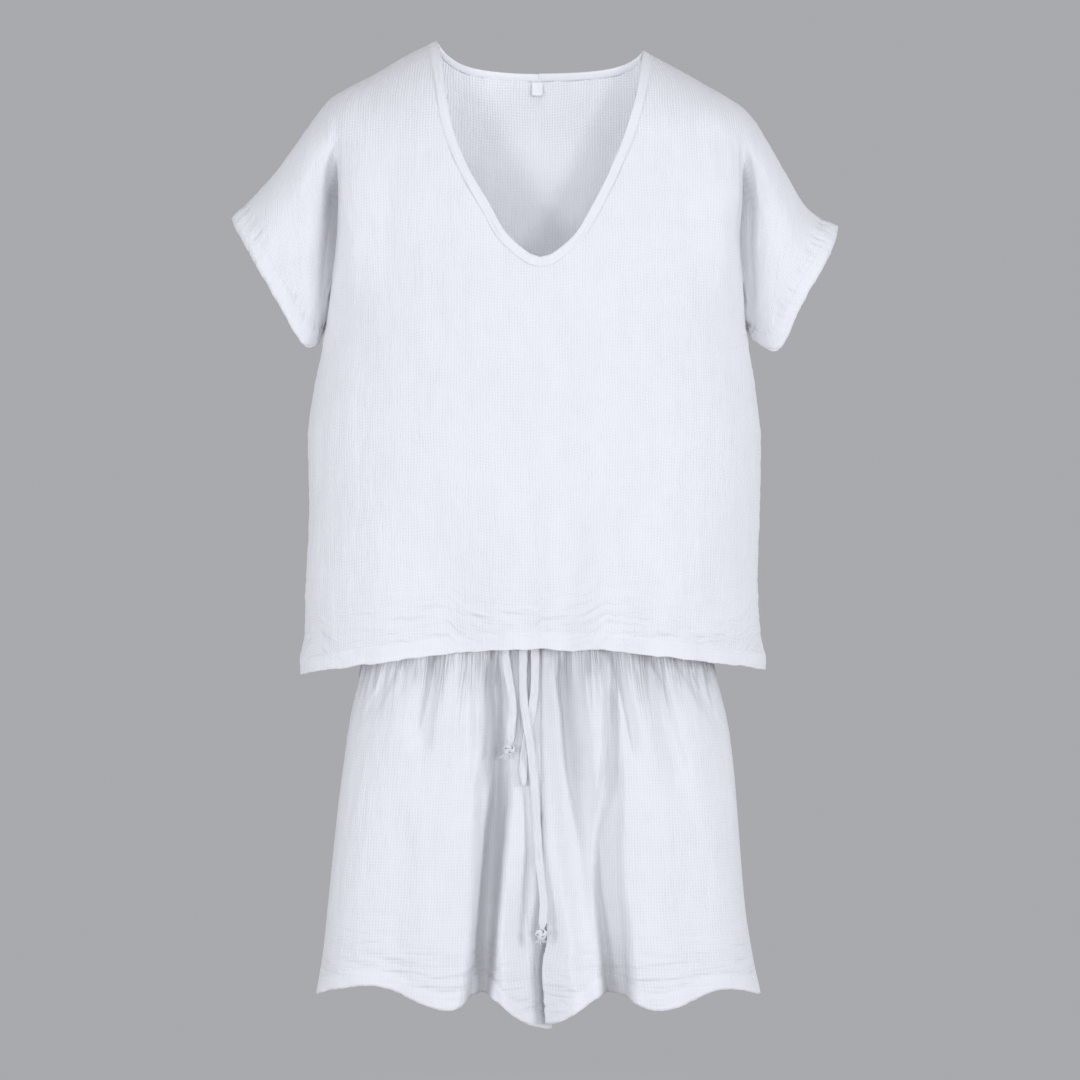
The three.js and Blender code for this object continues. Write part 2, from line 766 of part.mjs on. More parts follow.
function foldAt(quarter, across, down, legWidth) {
  let depth = 0;
  for (const fold of legFolds[quarter]) {
    const along = (down - fold.top) / (fold.hem - fold.top);
    if (along < 0 || along > 1) continue;
    const centre = mix(fold.topAcross, fold.hemAcross, clamp(down / Math.min(1, fold.hem)));
    const away = ((across - centre) * legWidth) / (foldRun.reach * fold.width);
    const onset = ease(fold.top - foldRun.before, fold.top + foldRun.full, down);
    depth += fold.depth * clamp(1 - away ** 2) ** 2 * onset * ease(1, foldRun.fades, along);
  }
  return depth;
}

function shortsPoint(face, side, across, down) {
  const quarter = `${face}_${side}`;
  const hem = read(legHem[quarter], 'across', 'z', across);
  const z = mix(waistSeamZ - seamGap, hem, down);
  const outer = read(shortsSide, 'z', side, z);
  const belowCrotch = Math.max(0, crotchZ - z);
  const { crest, inseam, crestAt, roundness, parting } = legInner[side];
  const hemInner = mix(crest, inseam, ease(crestAt, 1, across));
  const drift = clamp(belowCrotch / (crotchZ - hem));
  const spread = mix(risePlane + parting * sideSign[side], hemInner, drift);
  const seamX = risePlane + sideSign[side] * halfSeam;
  const inner = mix(seamX, spread, ease(0, 1, belowCrotch / legSpread));
  const x = mix(outer, inner, across);
  const full = read(shortsDepth, 'z', face, z);
  const hip = quarterRound(across, hipRoundness);
  const power = across < 0.5 ? legRoundness : roundness;
  const leg = (1 - Math.abs(2 * across - 1) ** power) ** (1 / power);
  const towards = clamp((down / crotchShare[side] - riseCurve.start) / (1 - riseCurve.start));
  const atSeam = towards ** riseCurve.power;
  const inLeg = ease(legFormsFrom, 1, down / crotchShare[side]);
  const share = mix(inLeg, atSeam, ease(riseCurve.across, 1, across));
  const back = ease(inseamFrom, 1, across) * inseamY;
  const sign = faceSign[face];
  const folds = foldAt(quarter, across, down, Math.abs(outer - inner));
  const facing = mix(hip, leg, share);
  const out = facing * (full - folds * Math.min(1, facing * foldRun.flatEdge));
  return new THREE.Vector3(x, sign * out + back * share, z);
}

function shortsPanel(face, side) {
  const cloth = new Cloth();
  const crotch = crotchShare[side];
  const rows = [
    ...legRowsAbove.map((share) => share * crotch),
    ...legRowsBelow.map((share) => mix(crotch, 1, share)),
  ];
  const lastColumn = legColumns[face].length - 1;
  const crotchRow = legRowsAbove.length - 1;
  rows.forEach((down, row) => {
    legColumns[face].forEach((across, column) => {
      const point = shortsPoint(face, side, across, down);
      let flat = '';
      if (column === 0) {
        point.y = faceSign[face] * halfSeam;
        flat = 'y';
      }
      if (column === lastColumn) {
        if (row >= crotchRow) point.y = inseamY + faceSign[face] * halfSeam;
        if (row === crotchRow) flat = 'xy';
        else flat = row < crotchRow ? 'x' : 'y';
      }
      if (row === 0) flat += 'z';
      cloth.point(`${column} ${row}`, point, flat);
    });
  });
  const turned = (side === 'left') !== (face === 'front');
  for (let row = 0; row < rows.length - 1; row += 1) {
    for (let column = 0; column < lastColumn; column += 1) {
      const corners = [
        `${column} ${row}`,
        `${column + 1} ${row}`,
        `${column + 1} ${row + 1}`,
        `${column} ${row + 1}`,
      ];
      cloth.cell(corners, turned);
    }
  }
  return cloth;
}

// The elastic casing: a ring of even height, ruffled a little by its elastic.
const waistbandSteps = 60;
const waistRuffles = { count: 15, height: 0.8 };
function waistband() {
  const points = [];
  const facets = [];
  const levels = [waistTopZ, waistSeamZ];
  for (let step = 0; step < waistbandSteps; step += 1) {
    const turn = (step / waistbandSteps) * 2 * Math.PI;
    const side = Math.cos(turn) < 0 ? 'right' : 'left';
    const face = Math.sin(turn) < 0 ? 'front' : 'back';
    const ruffle = waistRuffles.height * Math.sin(turn * waistRuffles.count);
    for (const inset of [0, waistbandThickness]) {
      for (const z of levels) {
        const reach = Math.abs(read(shortsSide, 'z', side, z) - risePlane) - inset + ruffle;
        const depth = read(shortsDepth, 'z', face, z) - inset + ruffle;
        const along = Math.abs(Math.cos(turn)) ** (2 / hipRoundness) * Math.sign(Math.cos(turn));
        const out = Math.abs(Math.sin(turn)) ** (2 / hipRoundness) * Math.sign(Math.sin(turn));
        points.push(new THREE.Vector3(risePlane + reach * along, depth * out, z));
      }
    }
  }
  const at = (step, corner) => (step % waistbandSteps) * 4 + corner;
  const loop = [0, 1, 3, 2];
  for (let step = 0; step < waistbandSteps; step += 1) {
    loop.forEach((corner, index) => {
      const next = loop[(index + 1) % loop.length];
      const [a, b] = [at(step, corner), at(step, next)];
      const [c, d] = [at(step + 1, next), at(step + 1, corner)];
      facets.push([a, b, c], [a, c, d]);
    });
  }
  return geometryOf(points, facets);
}

// ---- drawstring --------------------------------------------------------------------------------

// A flat string along its route, wide across the front and thin from front to back.
function stringGeometry(route, thickness = string.thickness) {
  const curve = new THREE.CatmullRomCurve3(route.map((p) => new THREE.Vector3(p.x, p.y, p.z)));
  const steps = Math.round(curve.getLength() / string.step);
  const points = [];
  const facets = [];
  const front = new THREE.Vector3(0, -1, 0);
  const spaced = curve.getSpacedPoints(steps);
  spaced.forEach((centre, step) => {
    const tangent = curve.getTangentAt(step / steps);
    const across = tangent.clone().cross(front).normalize();
    const through = across.clone().cross(tangent).normalize();
    for (let corner = 0; corner < string.corners; corner += 1) {
      const turn = ((corner + 0.5) / string.corners) * 2 * Math.PI;
      const wide = Math.sign(Math.cos(turn)) * Math.abs(Math.cos(turn)) ** string.flatness;
      const offset = across.clone().multiplyScalar((wide * string.width) / 2);
      offset.addScaledVector(through, (Math.sin(turn) * thickness) / 2);
      points.push(centre.clone().add(offset));
    }
  });
  const corners = string.corners;
  for (let step = 0; step < steps; step += 1) {
    for (let corner = 0; corner < corners; corner += 1) {
      const next = (corner + 1) % corners;
      const [a, b] = [step * corners + corner, step * corners + next];
      const [c, d] = [(step + 1) * corners + next, (step + 1) * corners + corner];
      facets.push([a, d, b], [b, d, c]);
    }
  }
  for (let corner = 1; corner < corners - 1; corner += 1) {
    const top = steps * corners;
    facets.push([0, corner, corner + 1], [top, top + corner + 1, top + corner]);
  }
  return geometryOf(points, facets);
}

function knotGeometry({ x, y, z, width, depth, height }) {
  const geometry = new THREE.IcosahedronGeometry(1, 1);
  geometry.scale(width / 2, depth / 2, height / 2);
  geometry.translate(x, y, z);
  return geometry;
}

// ---- the set -----------------------------------------------------------------------------------

const set = new THREE.Group();

function addPiece(name, geometry, finish) {
  const mesh = new THREE.Mesh(geometry, new THREE.MeshStandardMaterial(finish));
  mesh.name = name;
  set.add(mesh);
}

const frontPanel = topPanel('front');
const backPanel = topPanel('back');
addPiece('top_front', frontPanel.geometry(), gauze);
addPiece('top_back', backPanel.geometry(), gauze);
addPiece('neck_band', neckBand(frontPanel), gauze);
addPiece('neck_tape', neckTape(backPanel), tapeCloth);
addPiece('size_label', sizeLabel(), tapeCloth);
addPiece('waistband', waistband(), shortsGauze);
for (const face of faces) {
  for (const side of sides) {
    addPiece(`shorts_${face}_${side}`, shortsPanel(face, side).geometry(), shortsGauze);
  }
}
addPiece('drawstring_knot', knotGeometry(bowKnot), shortsGauze);
for (const [name, route] of Object.entries(stringRoutes)) {
  addPiece(name, stringGeometry(route), shortsGauze);
}
addPiece(
  'drawstring_loop',
  stringGeometry(stringLoop.route, 2 * string.thickness + stringLoop.gap),
  shortsGauze,
);
for (const [name, size] of Object.entries(endKnots)) {
  addPiece(name, knotGeometry(size), shortsGauze);
}

export default set;
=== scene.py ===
import math
from functools import partial

import bmesh
import bpy
from mathutils import Euler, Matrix, Quaternion, Vector, noise
from mathutils.bvhtree import BVHTree
from mathutils.kdtree import KDTree


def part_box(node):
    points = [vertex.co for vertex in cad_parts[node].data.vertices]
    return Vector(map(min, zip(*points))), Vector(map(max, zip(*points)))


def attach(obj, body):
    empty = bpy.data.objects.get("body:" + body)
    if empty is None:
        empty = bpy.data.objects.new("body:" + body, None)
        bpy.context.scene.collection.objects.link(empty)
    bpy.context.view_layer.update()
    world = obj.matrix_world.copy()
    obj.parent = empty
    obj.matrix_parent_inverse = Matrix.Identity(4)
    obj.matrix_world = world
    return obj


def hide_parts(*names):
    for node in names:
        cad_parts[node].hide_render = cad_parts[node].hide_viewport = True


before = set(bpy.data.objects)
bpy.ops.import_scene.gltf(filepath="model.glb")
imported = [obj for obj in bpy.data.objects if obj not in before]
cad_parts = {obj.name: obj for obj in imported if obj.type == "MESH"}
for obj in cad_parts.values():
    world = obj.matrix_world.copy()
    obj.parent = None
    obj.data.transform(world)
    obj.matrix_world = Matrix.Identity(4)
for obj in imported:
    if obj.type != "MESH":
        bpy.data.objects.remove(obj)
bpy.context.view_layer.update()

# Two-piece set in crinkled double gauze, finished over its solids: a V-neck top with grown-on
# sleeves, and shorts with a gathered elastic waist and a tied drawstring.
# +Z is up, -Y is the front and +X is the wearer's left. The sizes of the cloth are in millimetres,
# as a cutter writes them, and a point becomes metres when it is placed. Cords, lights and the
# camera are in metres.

MM = 0.001
FAR = 999.0
SEAM_GAP = 0.06
HALF_SEAM = SEAM_GAP / 2
SIDES = ("right", "left")
SIDE_SIGN = {"right": -1, "left": 1}
FACE_SIGN = {"front": -1, "back": 1}


def table(names, *rows):
    """A table with named columns."""
    return [dict(zip(names.split(), row)) for row in rows]


def crease_lines(*lines):
    """Tables of creases. Each row has a place, a depth and the run out to either side of it."""
    return [table("z x depth right left", *line) for line in lines]


# ---- the top -----------------------------------------------------------------------------------

UNDERARM_Z = -296
NECK_ARCH = 26
CHEST_TOP_Z = -97
LEAST_SHOULDER_DROP = 50
SHOULDER_ROUNDNESS = 1.7
SLEEVE_DEPTH = {"front": 46, "back": 42}
FOLD_START = 0.25
NECK_BAND_WIDTH = 10
NECK_TAPE_WIDTH = 8
LABEL_WIDTH = 12
HEM_DIP = {"power": 1.7, "centre_z": -629.5, "right": 30, "left": 25}

# Edge of the neck on the front, from the neck points down to the bottom of the V.
NECK_POINT = {"right": {"x": -108, "z": 5}, "left": {"x": 108, "z": -5}}
FRONT_NECK = table(
    "z right left",
    (-31, -100.5, 104), (-66, -95.5, 97.5), (-105, -87, 86), (-141, -71.5, 71), (-177, -51, 53.5),
    (-205, -35, 37), (-218, -22.5, 24.5), (-226, -12, 14), (-229.5, -6, 8),
)
NECK_BOTTOM = {"x": 1, "z": -230.8}
BACK_NECK = {"x": 1, "z": -20.5, "dished": 0.35, "steepness": 7}

# Line of the shoulder and the top of the sleeve, outwards from each neck point.
SHOULDER_LINE = {
    "right": table(
        "x z",
        (-108, 5), (-134, -7), (-172, -29), (-210, -49), (-223, -59), (-248, -92), (-273, -127),
        (-298, -155), (-324, -181),
    ),
    "left": table(
        "x z",
        (108, -5), (130, -17), (168, -38), (206, -60), (218, -70), (231, -88), (256, -131),
        (281, -171), (313, -189),
    ),
}

# Front edge of the cuff: its lowest corner, and where it ends at the underarm seam. The corner
# comes at a share of the way around; above it the edge bows out and back in again.
CUFF = {
    "right": {"corner": {"x": -247, "z": -317}, "end": {"x": -232, "z": -312}, "bow": 0.5},
    "left": {"corner": {"x": 250, "z": -323}, "end": {"x": 222, "z": -308}, "bow": 4.5},
}
CUFF_CORNER = 0.81
CUFF_CREST = 0.48
CUFF_DROP = 46
BOW_DIRECTION = {"out": 0.9, "down": 0.43}

# The crest of a sleeve goes down from its shoulder end to the corner of the cuff.
CREST_CURVE = 0.6
FOLD_CURVE = 1.4

# Half-outline of the body: the fold that the hanging sleeve makes above the underarm, and the
# side seam below it.
BODY_SIDE = table(
    "z right left",
    (-52, -212, 209), (-110, -210, 209), (-162, -209, 209.5), (-204, -211, 207),
    (-256, -218, 212), (-296, -225, 216), (-330, -231, 221.5), (-382, -241, 229),
    (-408, -243.5, 231.5), (-487, -242.5, 231), (-566, -246, 228.5), (-619, -247.5, 232),
    (-642, -252, 237), (-662, -251.5, 237),
)

# How far the front and the back stand from the plane of the side seams.
BODY_DEPTH = table(
    "z front back",
    (-97, 84, 74), (-180, 92, 80), (-260, 95, 79), (-400, 93, 78), (-520, 92, 81), (-660, 89, 85),
)

# Outline of the body from above: softly rounded at the shoulders, boxier from the chest down.
BODY_SECTION = {"soft": 2.4, "boxy": 2.6, "soft_z": -95, "boxy_z": -180}

# Soft upright waves in the lower half of the top: place, half-width and height outwards.
BODY_WAVES = table(
    "face x width height top",
    ("front", -98, 40, -17, -440), ("front", 26, 30, 10, -400), ("front", 70, 32, -16, -450),
    ("front", 150, 50, 8, -430), ("back", -120, 50, 6, -400), ("back", -40, 40, -7, -380),
    ("back", 60, 44, 6, -420), ("back", 130, 38, -6, -460),
)
WAVES_FULL_Z = -640

# ---- the shorts --------------------------------------------------------------------------------

WAIST_TOP_Z = -580
WAIST_SEAM_Z = -612
RISE_PLANE = 1
CROTCH_Z = -926
INSEAM_Y = 10
HIP_ROUNDNESS = 2.4
LEG_ROUNDNESS = 3.2
RISE_CURVE = {"start": 0.5, "power": 2.2, "across": 0.55}
LEG_FORMS_FROM = 0.2
INSEAM_FROM = 0.8

SHORTS_SIDE = table(
    "z right left",
    (-580, -177, 173), (-612, -181, 177), (-655, -189, 184), (-713, -200.5, 197.5),
    (-760, -207, 203.5), (-792, -211, 206), (-897, -221.5, 214), (-949, -227, 222),
    (-990, -234, 230.5),
)
SHORTS_DEPTH = table(
    "z front back",
    (-580, 66, 63), (-612, 68, 65), (-655, 74, 70), (-740, 81, 76), (-850, 86, 79),
    (-990, 91, 82),
)

# Height of the leg hems by how far across the leg they are, from outseam to inseam.
LEG_HEM = {
    "front_right": table(
        "across z",
        (0, -990), (0.08, -980), (0.28, -974), (0.57, -997), (0.73, -985), (0.9, -1014),
        (1, -1029),
    ),
    "front_left": table(
        "across z",
        (0, -990), (0.08, -981), (0.2, -978), (0.46, -997), (0.7, -984), (0.9, -1011), (1, -1018),
    ),
    "back_right": table(
        "across z",
        (0, -990), (0.3, -981), (0.55, -993), (0.8, -996), (1, -1029),
    ),
    "back_left": table(
        "across z",
        (0, -990), (0.25, -984), (0.5, -995), (0.75, -991), (1, -1018),
    ),
}

# Inner edge of each leg at the hem: its crest, and the inseam behind the crest. The crest starts
# at a share of the way across. Above the hem the edges draw together to the crotch.
LEG_INNER = {
    "right": {
        "crest": 8, "inseam": 14, "crest_at": 0.9, "roundness": 3.2, "parting": -11,
        "crest_parting": 0.15,
    },
    "left": {
        "crest": -1.4, "inseam": 18.5, "crest_at": 0.97, "roundness": 5.5, "parting": 12.5,
        "crest_parting": -8.6,
    },
}
LEG_SPREAD = 40
# The centre seam swings behind the fold of the left leg towards the crotch.
SEAM_TUCK = {"from_z": -850, "full_z": -912, "tuck": 11}

# Folds that fall from the gathers: where across the leg they start and end, the share of the
# drop that they run over, half-width and depth in millimetres.
LEG_FOLDS = {
    "front_right": table(
        "top_across hem_across top hem width depth",
        (0.755, 0.75, 0.07, 1.3, 11, 22), (0.4, 0.38, 0, 0.38, 11, 11),
        (0.24, 0.3, 0, 0.24, 12, 7), (0.62, 0.6, 0.12, 0.52, 13, 6),
        (0.5, 0.57, 0.45, 1.6, 34, -9),
    ),
    "front_left": table(
        "top_across hem_across top hem width depth",
        (0.93, 0.725, 0.05, 1.3, 15, 22), (0.6, 0.53, 0, 0.42, 10, 12),
        (0.38, 0.28, 0, 0.55, 13, 8), (0.12, 0.05, 0, 0.34, 12, 6),
        (0.5, 0.47, 0.45, 1.6, 34, -9),
    ),
    "back_right": table(
        "top_across hem_across top hem width depth",
        (0.8, 0.72, 0, 1.3, 20, 22), (0.52, 0.44, 0, 0.62, 15, 11), (0.25, 0.2, 0, 1.4, 20, 15),
    ),
    "back_left": table(
        "top_across hem_across top hem width depth",
        (0.72, 0.66, 0, 1.3, 20, 23), (0.45, 0.4, 0, 0.52, 15, 12), (0.3, 0.16, 0, 1.4, 20, 14),
    ),
}
# Sharper creases laid over those folds: places down each one with its depth, and how far it runs
# out to the wearer's right (-X) and left (+X) of its line. A short run makes a crisp side.
LEG_CREASES = {
    "front_right": crease_lines(
        [
            (-612, -45, 6, 9, 6), (-660, -44, 9, 10, 6), (-692, -41, 14, 10, 6),
            (-722, -38.5, 18, 13, 5.5), (-753, -37, 23, 16, 7), (-784, -40, 27, 14, 11),
            (-814, -44.6, 28, 14, 14), (-845, -47.7, 28, 14.5, 14.5), (-906, -54.5, 29, 15, 15),
            (-962, -60.7, 30, 16, 16), (-1000, -66, 31, 16, 16), (-1040, -70, 31, 16, 16),
        ],
        [
            (-612, -108, 5, 4, 3), (-645, -109.5, 7, 6, 3.5), (-679, -111, 6, 11, 5),
            (-714, -117, 4, 14, 8), (-745, -121, 0, 14, 12),
        ],
        [
            (-612, -142, 3, 7, 7), (-645, -150, 4, 9, 8), (-680, -166, 2.5, 9, 9),
            (-712, -184, 0, 9, 9),
        ],
        [
            (-612, -76, 3, 3, 3), (-645, -75.5, 3.4, 3.5, 3.5), (-690, -73, 2, 6, 6),
            (-734, -70, 4, 10, 8), (-765, -66, 0, 12, 8),
        ],
        [
            (-735, -49, 0, 5, 6), (-757, -56, 4, 7, 8), (-790, -64, 0, 8, 8),
        ],
        [
            (-770, -14.5, 0, 3, 4), (-800, -13, 3, 4, 5), (-840, -12, 3.2, 4, 6),
            (-880, -14, 3.5, 5, 9), (-930, -14, 0, 6, 9),
        ],
    ),
    "front_left": crease_lines(
        [
            (-612, 20, 6, 4, 12), (-664, 22, 11, 5, 24), (-692, 25, 13, 6, 27),
            (-722, 28, 13, 8, 27), (-753, 31.5, 11, 8, 26), (-784, 38, 7, 9, 24),
            (-814, 43, 5, 10, 20), (-850, 48, 0, 12, 18),
        ],
        [
            (-612, 72, 4, 5, 4), (-660, 72, 9, 7, 6), (-693, 72.5, 18, 8, 9),
            (-737, 73.5, 18, 10, 11), (-784, 73, 17, 17, 13), (-832, 71, 18, 19, 14),
            (-875, 71, 22, 19, 16), (-912, 75, 26, 20, 17), (-956, 79, 29, 21, 17),
            (-1000, 80, 33, 21, 20),
        ],
        [
            (-640, 76, 0, 2.5, 3), (-664, 81, 3.5, 3, 3.5), (-682, 86, 4, 3, 4),
            (-708, 90.5, 4.2, 3, 4.5), (-734, 94, 2.6, 3, 5), (-752, 95, 0, 4, 5),
        ],
        [
            (-612, 106, 3, 4, 5), (-644, 112, 5, 4.5, 8), (-664, 120, 5, 6, 11),
            (-708, 130, 4, 7, 13), (-772, 142, 1.5, 8, 15), (-800, 146, 0, 8, 15),
        ],
        [
            (-620, 138, 2, 4, 5), (-650, 146, 4.5, 5, 8), (-665, 156, 4.5, 6, 9),
            (-700, 177, 2, 8, 9), (-720, 188, 0, 8, 9),
        ],
    ),
    "back_right": crease_lines(
        [
            (-612, -38, 6, 7, 9), (-700, -46, 12, 9, 14), (-800, -50, 13, 11, 18),
            (-900, -60, 14, 12, 20), (-1040, -66, 13, 13, 20),
        ],
        [
            (-612, -92, 4, 4, 5), (-660, -96, 7, 5, 9), (-730, -108, 4, 9, 12),
            (-790, -116, 0, 10, 12),
        ],
        [
            (-620, -146, 3, 5, 5), (-655, -154, 4.5, 8, 6), (-715, -176, 0, 9, 8),
        ],
    ),
    "back_left": crease_lines(
        [
            (-612, 48, 6, 9, 6), (-690, 54, 11, 14, 8), (-790, 60, 11, 17, 10),
            (-900, 70, 14, 21, 11), (-1040, 80, 14, 22, 12),
        ],
        [
            (-612, 16, 3, 4, 5), (-670, 20, 6, 5, 11), (-750, 28, 4, 8, 13), (-820, 34, 0, 9, 13),
        ],
        [
            (-615, 104, 4, 5, 4), (-665, 112, 6.5, 9, 5), (-740, 124, 3, 12, 8),
            (-800, 132, 0, 13, 9),
        ],
    ),
}
FOLD_RUN = {"before": 0.02, "full": 0.09, "fades": 0.5, "reach": 1.6, "flat_edge": 1.15}


# ---- working with tables and curves ------------------------------------------------------------


def mix(start, end, share):
    return start + (end - start) * share


def clamp(value):
    return min(1.0, max(0.0, value))


def ease(start, end, value):
    share = clamp((value - start) / (end - start))
    return share * share * (3 - 2 * share)


def read(rows, key, column, at):
    """Reads one column of a table at a place in its key column, smoothly between the rows."""
    order = 1 if rows[1][key] > rows[0][key] else -1
    last = len(rows) - 1
    if (at - rows[0][key]) * order <= 0:
        return rows[0][column]
    if (at - rows[last][key]) * order >= 0:
        return rows[last][column]
    row = 0
    while (at - rows[row + 1][key]) * order > 0:
        row += 1

    def slope(index):
        before = max(0, index - 1)
        after = min(last, index + 1)
        run = rows[after][key] - rows[before][key]
        return (rows[after][column] - rows[before][column]) / run

    start = rows[row]
    end = rows[row + 1]
    run = end[key] - start[key]
    t = (at - start[key]) / run
    return (
        start[column] * (1 + 2 * t) * (1 - t) ** 2
        + slope(row) * run * t * (1 - t) ** 2
        + end[column] * t * t * (3 - 2 * t)
        - slope(row + 1) * run * t * t * (1 - t)
    )


def quarter_round(share, power):
    """Quarter of a rounded outline: 0 with an upright start, 1 with a level end."""
    return (1 - (1 - clamp(share)) ** power) ** (1 / power)


def rough(seed, *steps):
    """Soft noise from -1 to 1 at a place given in steps; each seed is a pattern of its own."""
    across, down = steps
    return noise.noise(Vector((across, down, 7.31 * seed)))


# ---- form of the top ---------------------------------------------------------------------------

BODY_CENTRE = NECK_BOTTOM["x"]
CUFF_ROUNDING = 0.055


def side_x(side, z):
    return read(BODY_SIDE, "z", side, z)


def fold_top_x(side):
    return BODY_SIDE[0][side]


def shoulder_height(x):
    """Height of the shoulder line, carried over the neck opening as an arch."""
    side = "right" if x < 0 else "left"
    share = abs(x) / abs(NECK_POINT[side]["x"])
    if share < 1:
        return NECK_POINT[side]["z"] + NECK_ARCH * (1 - share * share)
    return read(SHOULDER_LINE[side], "x", "z", x)


def shoulder_drop(x):
    return max(LEAST_SHOULDER_DROP, shoulder_height(x) - CHEST_TOP_Z)


def fold_share(along, start):
    return 1 - clamp((along - start) / (1 - start)) ** FOLD_CURVE


def fold_depth(face, side, z):
    """Depth of the fold line where the sleeve hangs from the body; nothing at the underarm."""
    top = shoulder_height(fold_top_x(side))
    return SLEEVE_DEPTH[face] * fold_share(clamp((top - z) / (top - UNDERARM_Z)), FOLD_START)


def body_out(face, x, z):
    """How far the cloth of the body stands from y = 0 at a place seen from the front."""
    side = "right" if x < BODY_CENTRE else "left"
    reach = abs(side_x(side, z) - BODY_CENTRE)
    across = min(1, abs(x - BODY_CENTRE) / reach)
    fold = fold_depth(face, side, z)
    full = read(BODY_DEPTH, "z", face, z)
    soft = 1 - across ** BODY_SECTION["soft"]
    boxy = math.sqrt(1 - across ** BODY_SECTION["boxy"])
    section = mix(soft, boxy, ease(BODY_SECTION["soft_z"], BODY_SECTION["boxy_z"], z))
    roll = quarter_round((shoulder_height(x) - z) / shoulder_drop(x), SHOULDER_ROUNDNESS)
    waves = 0
    for wave in BODY_WAVES:
        if wave["face"] == face:
            near = clamp(1 - ((x - wave["x"]) / (2 * wave["width"])) ** 2)
            waves += wave["height"] * near**3 * ease(wave["top"], WAVES_FULL_Z, z)
    return roll * (fold + (full - fold + waves) * section)


def hem_z(x):
    side = "right" if x < BODY_CENTRE else "left"
    reach = abs(BODY_SIDE[-1][side] - BODY_CENTRE)
    share = abs(x - BODY_CENTRE) / reach
    return HEM_DIP["centre_z"] - HEM_DIP[side] * share ** HEM_DIP["power"]


def sharp_cuff_edge(side, along):
    """The edge of the cuff from the front: down to its corner, then in to the underarm seam."""
    corner = CUFF[side]["corner"]
    end = CUFF[side]["end"]
    if along > CUFF_CORNER:
        share = (along - CUFF_CORNER) / (1 - CUFF_CORNER)
        return mix(corner["x"], end["x"], share), mix(corner["z"], end["z"], share)
    top = SHOULDER_LINE[side][-1]
    share = along / CUFF_CORNER
    out = CUFF[side]["bow"] * math.sin(2 * math.pi * share) * (1 - share)
    x = mix(top["x"], corner["x"], share) + BOW_DIRECTION["out"] * out * SIDE_SIGN[side]
    return x, mix(top["z"], corner["z"], share) - BOW_DIRECTION["down"] * out


def cuff_edge(side, along):
    """The same edge with its corner rounded."""
    reach = min(CUFF_ROUNDING, along, 1 - along)
    shares = (-1, -0.6, -0.2, 0.2, 0.6, 1)
    places = [sharp_cuff_edge(side, along + reach * share) for share in shares]
    return [sum(axis) / len(places) for axis in zip(*places)]


def sleeve_point(face, side, outward, down):
    """The sleeve: outward from the fold line to the cuff, down from the arm line to the seam."""
    top_x = fold_top_x(side)
    top_z = shoulder_height(top_x)
    cuff_top = SHOULDER_LINE[side][-1]
    fold_z = mix(top_z, UNDERARM_Z, down)
    cuff_x, cuff_z = cuff_edge(side, down)
    arm_z = shoulder_height(mix(top_x, cuff_top["x"], outward))
    low_z = mix(UNDERARM_Z, CUFF[side]["end"]["z"], outward)
    x = mix(side_x(side, fold_z), cuff_x, outward)
    z = mix(fold_z, cuff_z, outward)
    z += (1 - down) * (arm_z - mix(top_z, cuff_top["z"], outward))
    crest = mix(FOLD_START, CUFF_CREST, outward**CREST_CURVE)
    roll_drop = mix(shoulder_drop(top_x), CUFF_DROP, outward)
    roll = quarter_round(down * (arm_z - low_z) / roll_drop, SHOULDER_ROUNDNESS)
    out = roll * SLEEVE_DEPTH[face] * fold_share(down, crest)
    return Vector((x, FACE_SIGN[face] * max(out, HALF_SEAM), z))


def body_point(face, x, z):
    return Vector((x, FACE_SIGN[face] * max(body_out(face, x, z), HALF_SEAM), z))


# ---- form of the shorts ------------------------------------------------------------------------

CREASE_FLOOR = 0.45


def crotch_share(side):
    """Share of the drop from the waist seam to the hem at which the legs part."""
    inseam_hem = LEG_HEM[f"front_{side}"][-1]["z"]
    return (CROTCH_Z - WAIST_SEAM_Z) / (inseam_hem - WAIST_SEAM_Z)


def fold_at(quarter, across, down, leg_width):
    depth = 0
    for fold in LEG_FOLDS[quarter]:
        along = (down - fold["top"]) / (fold["hem"] - fold["top"])
        if 0 <= along <= 1:
            centre = mix(fold["top_across"], fold["hem_across"], clamp(down / min(1, fold["hem"])))
            away = (across - centre) * leg_width / (FOLD_RUN["reach"] * fold["width"])
            onset = ease(fold["top"] - FOLD_RUN["before"], fold["top"] + FOLD_RUN["full"], down)
            fades = ease(1, FOLD_RUN["fades"], along)
            depth += fold["depth"] * clamp(1 - away**2) ** 2 * onset * fades
    return depth


